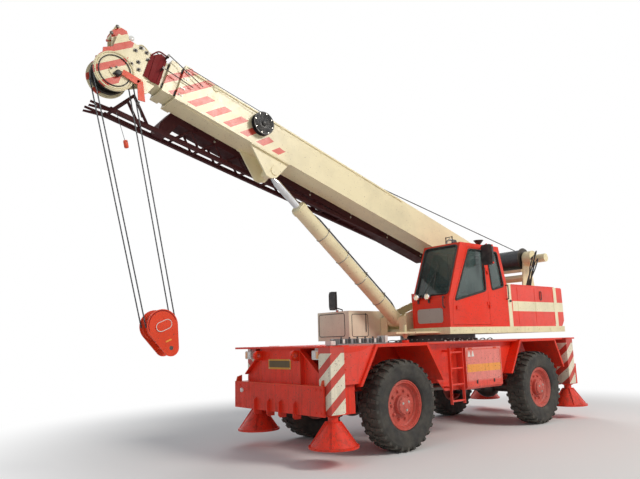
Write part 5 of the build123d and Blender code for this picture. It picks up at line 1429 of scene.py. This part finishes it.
def head_fittings():
    """Guard rings, beacon, bracket, folded cover, valves, guide rods and lamp on the boom head."""
    u, w = HEAD_PIN
    for side, tag in SIDES:
        black, pale = bmesh.new(), bmesh.new()
        for store, r, y, section in ((pale, 0.262, 0.160, 0.011), (black, 0.215, 0.163, 0.008)):
            tube(store, circle(boom(u, side * y, w), ALONG, SQUARE, r, 64), section, 8, closed=True)
        add(f"head_guard_ring_{tag}", pale, "cream", "boom_tip", 60)
        add(f"head_seal_ring_{tag}", black, "black", "boom_tip", 60)
        places = [(p, Y * side) for p in circle(boom(u, side * 0.176, w), ALONG, SQUARE, 0.055, 4)]
        bolts(f"head_pin_bolts_{tag}", places, 0.010, 0.010, "dark_steel", "boom_tip")
    bm = bmesh.new()
    turned(bm, [(0, 0.070), (0.030, 0.066), (0.042, 0.050), (0.044, 0.0), (0, 0.0)],
           boom(7.41, 0.166, -0.11), Y, 24)
    block_on(bm, 7.03, 0.186, -0.36, 0.030, 0.014, 0.05)
    tube(bm, eased([boom(7.03, 0.186, -0.335), boom(6.99, 0.186, -0.43), boom(6.92, 0.186, -0.525)],
                   0.03), 0.008, 8)
    add("head_black_parts", bm, "black", "boom_tip")
    bm = bmesh.new()
    for outline in ([(7.36, -0.015), (7.36, -0.095), (7.14, -0.115), (7.09, -0.02)],
                    [(7.15, -0.05), (7.07, -0.03), (6.95, -0.29), (7.045, -0.315)]):
        plate(bm, outline, boom(0, 0.176, 0), ALONG, SQUARE, -0.014, 0.003)
    add("head_red_bracket", bm, "bright", "boom_tip")
    bm = bmesh.new()
    folds = (((7.09, 0.07), (7.09, 0.40), (7.04, 0.45), (7.02, 0.06)),
             ((7.025, 0.06), (7.045, 0.45), (6.96, 0.53), (6.95, 0.05)),
             ((6.955, 0.05), (6.965, 0.53), (6.89, 0.50), (6.90, 0.05)), ((6.905, 0.05),
                     (6.895, 0.50), (6.86, 0.44), (6.85, 0.06)))
    for k, outline in enumerate(folds):
        tilt = (ALONG + Y * (0.35 if k % 2 else -0.35)).normalized()
        middle = sum(a for a, _ in outline) / 4
        plate(bm, [(a - middle, b) for a, b in outline], boom(middle, 0.162, 0), tilt, SQUARE,
              -0.014, 0.002)
    tube(bm, eased([boom(7.09, 0.16, 0.42), boom(7.0, 0.15, 0.56), boom(6.84, 0.14, 0.55)], 0.05),
         0.011, 8)
    add("head_folded_cover", bm, "cover", "boom_tip")
    pale = bmesh.new()
    for k, (a, b) in enumerate(((7.12, 0.24), (7.20, 0.36), (7.28, 0.26), (7.33, 0.44))):
        turned(pale, [(0, 0.050), (0.022, 0.048), (0.030, 0.036), (0.030, 0.0), (0, 0.0)],
               boom(a, 0.092, b), Y, 16)
        block_on(pale, a, 0.110, b - 0.055, 0.075, 0.030, 0.040)
    tube(pale, eased([boom(7.10, 0.12, 0.46), boom(7.24, 0.13, 0.52), boom(7.34, 0.12, 0.40),
                      boom(7.42, 0.11, 0.22)], 0.06), 0.010, 8)
    add("head_valve_gear", pale, "cream", "boom_tip")
    dark = bmesh.new()
    for a, b in ((7.10, 0.33), (7.15, 0.42), (7.21, 0.22), (7.24, 0.44), (7.30, 0.36), (7.17, 0.12),
                 (7.29, 0.14)):
        block_on(dark, a, 0.150, b, 0.055, 0.030, 0.040)
        turned(dark, [(0, 0.050), (0.010, 0.050), (0.013, 0.036), (0.013, 0.0), (0, 0.0)],
               boom(a, 0.150, b), Y, 8)
    for a, b in (((6.88, 0.515), (6.27, 0.355)), ((6.89, 0.285), (6.40, 0.255))):
        tube(dark, [boom(a[0], 0.262, a[1]), boom(b[0], 0.262, b[1])], 0.007, 8)
    block_on(dark, 6.885, 0.222, 0.50, 0.030, 0.100, 0.040)
    block_on(dark, 6.895, 0.222, 0.285, 0.030, 0.100, 0.040)
    add("head_dark_fittings", dark, "dark_steel", "boom_tip")
    rods = bmesh.new()
    tube(rods, [boom(7.03, 0.150, 0.515), boom(6.85, 0.150, 0.47)], 0.008, 8)
    for a, b in ((7.63, 0.60), (7.67, 0.465)):
        turned(rods, [(0, 0.016), (0.020, 0.012), (0.026, 0.0), (0, 0.0)],
               boom(a - 0.01, 0.125, b - 0.04), Y, 18)
    add("head_rods_and_knobs", rods, "dark_steel", "boom_tip")
    bm = bmesh.new()
    turned(bm, [(0, 0.012), (0.030, 0.008), (0.040, 0.0), (0, 0.0)], boom(7.39, 0.094, 0.535), Y,
           20)
    add("head_lamp_lens", bm, "clear_lens", "boom_tip", 60)


def lift_fittings():
    """Two hoses up the cylinder's barrel, and their clamps."""
    hoses, clamps = bmesh.new(), bmesh.new()

    def at(d, y, out):
        return FOOT + LIFT * d + Y * y + LIFT_OUT * out

    for y in (-0.035, 0.035):
        tube(hoses, eased([at(0.22, y, 0.118), at(0.34, y, 0.150), at(2.50, y, 0.148),
                           at(2.62, y, 0.120)], 0.06), 0.013, 8)
    for d in (0.60, 1.15, 1.70, 2.25):
        tube(clamps, circle(at(d, 0, 0), Y, LIFT_OUT, 0.129, 40), 0.0065, 6, closed=True)
        half = Vector((0.022, 0.062, 0.012))
        block(clamps, at(d, 0, 0.146) - half, at(d, 0, 0.146) + half, 0.003)
    add("lift_hoses", hoses, "hose", "lift_barrel", 60)
    add("lift_hose_clamps", clamps, "steel", "lift_barrel")


def jib_fittings():
    """Bright bolts and pins along the stowed jib's box member."""
    stations = (0.6, 1.6, 2.6, 3.6, 4.6, 5.6)
    places = [(boom(u, -0.342, w), Y) for u in stations for w in (-0.02, 0.05, 0.12)]
    places += [(boom(u, -0.638, w), -Y) for u in stations for w in (-0.02, 0.12)]
    bolts("jib_bolts", places, 0.013, 0.012, "bright_steel", "boom_base")


# ---- hook ------------------------------------------------------------------------------------
BLOCK_DROP = 3.45        # from the head's pin to the block's, down the falls
WEIGHT_DROP = 1.02


def hook_fittings():
    """The block's blank oval plates and dark edge bands, and the switch weight on the falls."""
    trunnion = Vector(JOINTS["hook_tilt"]["pos_m"])
    pin = HEAD + FALLS * BLOCK_DROP
    down = (trunnion - pin).normalized()
    across = Vector((down.z, 0, -down.x))
    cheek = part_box("hook_block")[1][1] - 0.008
    at = pin + across * 0.012 + down * 0.005
    for side, tag in SIDES:
        bm = bmesh.new()
        plate(bm, oblong(0.235, 0.135, 0.0665, 8), at + Y * side * (cheek - 0.0005), across, down,
              0.0105 * (-side), 0.001)
        add(f"hook_block_oval_{tag}", bm, "block", "hook_block")
        bm = bmesh.new()
        ring = [at + Y * side * (cheek + 0.0100) + across * a + down * b for a,
                b in oblong(0.222, 0.122, 0.060, 8)]
        tube(bm, ring, 0.0052, 6, closed=True)
        add(f"hook_block_oval_rim_{tag}", bm, "white", "hook_block", 60)
        bm = bmesh.new()
        hub = pin + Y * side * (cheek - 0.004)
        rim = [hub + across * 0.196 * math.cos(a) - down * 0.196 * math.sin(a)
               for a in around(48)[:25]]
        tube(bm, rim, 0.0075, 6)
        add(f"hook_block_edge_{tag}", bm, "cover", "hook_block", 60)
    strip = bmesh.new()
    plate(strip, oblong(0.085, 0.022, 0.004, 2), trunnion - down * 0.105 + Y * (cheek - 0.0005),
          across, down, -0.004, 0.001)
    add("hook_block_strip", strip, "orange", "hook_block")
    weight = HEAD + FALLS * WEIGHT_DROP + Y * 0.176 + X * 0.05
    bm = bmesh.new()
    turned(bm, [(0, 0.055), (0.024, 0.052), (0.030, 0.040), (0.030, -0.040), (0.024, -0.052),
                (0, -0.055)], weight, FALLS, 20)
    add("hoist_limit_weight", bm, "bright", "falls")
    bm = bmesh.new()
    tube(bm, [weight, weight + Y * 0.006 + X * 0.05 - FALLS * 0.42], 0.0035, 6)
    add("hoist_limit_line", bm, "lead_rope", "falls")


# ---- camera, light and floor ---------------------------------------------------------------
CAMERA_AT = Vector((9.150, 7.438, 1.671))
CAMERA_AIM = Vector((-0.632, -0.755, 0.172))
CAMERA_ROLL = math.radians(-1.6)
CAMERA_LENS = 32.82


def add_camera():
    """A low camera off the front left corner, as far out as the boom head."""
    camera = placed("camera", bpy.data.cameras.new("camera"))
    camera.data.lens = CAMERA_LENS
    camera.data.sensor_width = 36.0
    camera.data.clip_end = 300.0
    turn = CAMERA_AIM.to_track_quat("-Z", "Y").to_matrix().to_4x4()
    camera.matrix_world = Matrix.Translation(CAMERA_AT) @ turn @ Matrix.Rotation(CAMERA_ROLL, 4,
            "Z")
    bpy.context.scene.camera = camera


FLOOR_R = 70
FLOOR_FADE = (5.0, 9.5)   # radii between which the floor fades
# name, place, aim, size, power, colour
LIGHTS = (
    ("key", (-4, 17, 13), (1, 0, 2), 7, 2350, (1.0, 0.95, 0.88)),
    ("fill", (17, 6, 7), (2, 0, 2), 9, 330, (0.95, 0.97, 1.0)),
    ("back", (-10, -12, 10), (0, 0, 2), 9, 700, (1, 1, 1)),
)


def cleared(owner):
    """The emptied node tree of a world or a material."""
    owner.use_nodes = True
    owner.node_tree.nodes.clear()
    return Nodes(owner.node_tree)


def area_light(name, at, aim, size, power, colour):
    data = bpy.data.lights.new(name, "AREA")
    data.shape = "DISK"
    data.size = size
    data.energy = power
    data.color = colour
    lamp = placed(name, data)
    lamp.location = at
    lamp.rotation_euler = (Vector(aim) - Vector(at)).to_track_quat("-Z", "Y").to_euler()


def studio():
    """Soft key from the left side, weak fill in front, white surroundings for camera rays."""
    for lamp in LIGHTS:
        area_light(*lamp)
    world = bpy.data.worlds.new("studio")
    bpy.context.scene.world = world
    t = cleared(world)
    path = t.node("ShaderNodeLightPath").outputs
    unlit = t.maths("MAXIMUM", path["Is Camera Ray"], path["Is Glossy Ray"])
    unlit = t.maths("MAXIMUM", unlit, path["Is Transmission Ray"])
    lit = t.filled(t.node("ShaderNodeBackground"), (0.92, 0.95, 1.0), Strength=0.30)
    seen = t.filled(t.node("ShaderNodeBackground"), (1, 1, 1), Strength=1.0)
    t.shade("ShaderNodeOutputWorld", unlit, lit, seen)


def floor():
    """A pale floor under the wheels that fades to white away from the crane."""
    mesh = bpy.data.meshes.new("floor")
    bm = bmesh.new()
    bmesh.ops.create_circle(bm, cap_ends=True, segments=96, radius=FLOOR_R)
    bm.to_mesh(mesh)
    bm.free()
    ground = placed("floor", mesh)
    material = bpy.data.materials.new("floor")
    t = cleared(material)
    length = t.node("ShaderNodeVectorMath", operation="LENGTH")
    t.filled(length, t.node("ShaderNodeTexCoord").outputs["Object"])
    fade = t.node("ShaderNodeMapRange", interpolation_type="SMOOTHSTEP")
    fade = t.filled(fade, length.outputs["Value"], *FLOOR_FADE)
    seen = t.node("ShaderNodeLightPath").outputs["Is Camera Ray"]
    matte = t.filled(t.node("ShaderNodeBsdfDiffuse"), (0.90, 0.90, 0.90))
    white = t.filled(t.node("ShaderNodeEmission"), (1, 1, 1), Strength=1.0)
    t.shade("ShaderNodeOutputMaterial", t.maths("MULTIPLY", fade, seen), matte, white)
    mesh.materials.append(material)


def build():
    """Every piece of the crane, on its body."""
    dress_nodes()
    for corner in CORNERS:
        tyre(corner)
        wheel_fittings(corner)
        jack_fittings(corner)
    front_plate()
    front_lamps()
    guard_fittings()
    deck_edges()
    toolbox_fittings()
    valve_fittings()
    slew_fittings()
    axle_fittings()
    tow_lug_rings()
    cab_seals()
    cab_front()
    cab_trim()
    cab_seat()
    mirrors()
    housing_fittings()
    winch_fittings()
    hoist_rope()
    boom_fittings()
    head_fittings()
    lift_fittings()
    jib_fittings()
    hook_fittings()


bpy.context.scene.view_settings.view_transform = "Standard"
build()
add_camera()
studio()
floor()
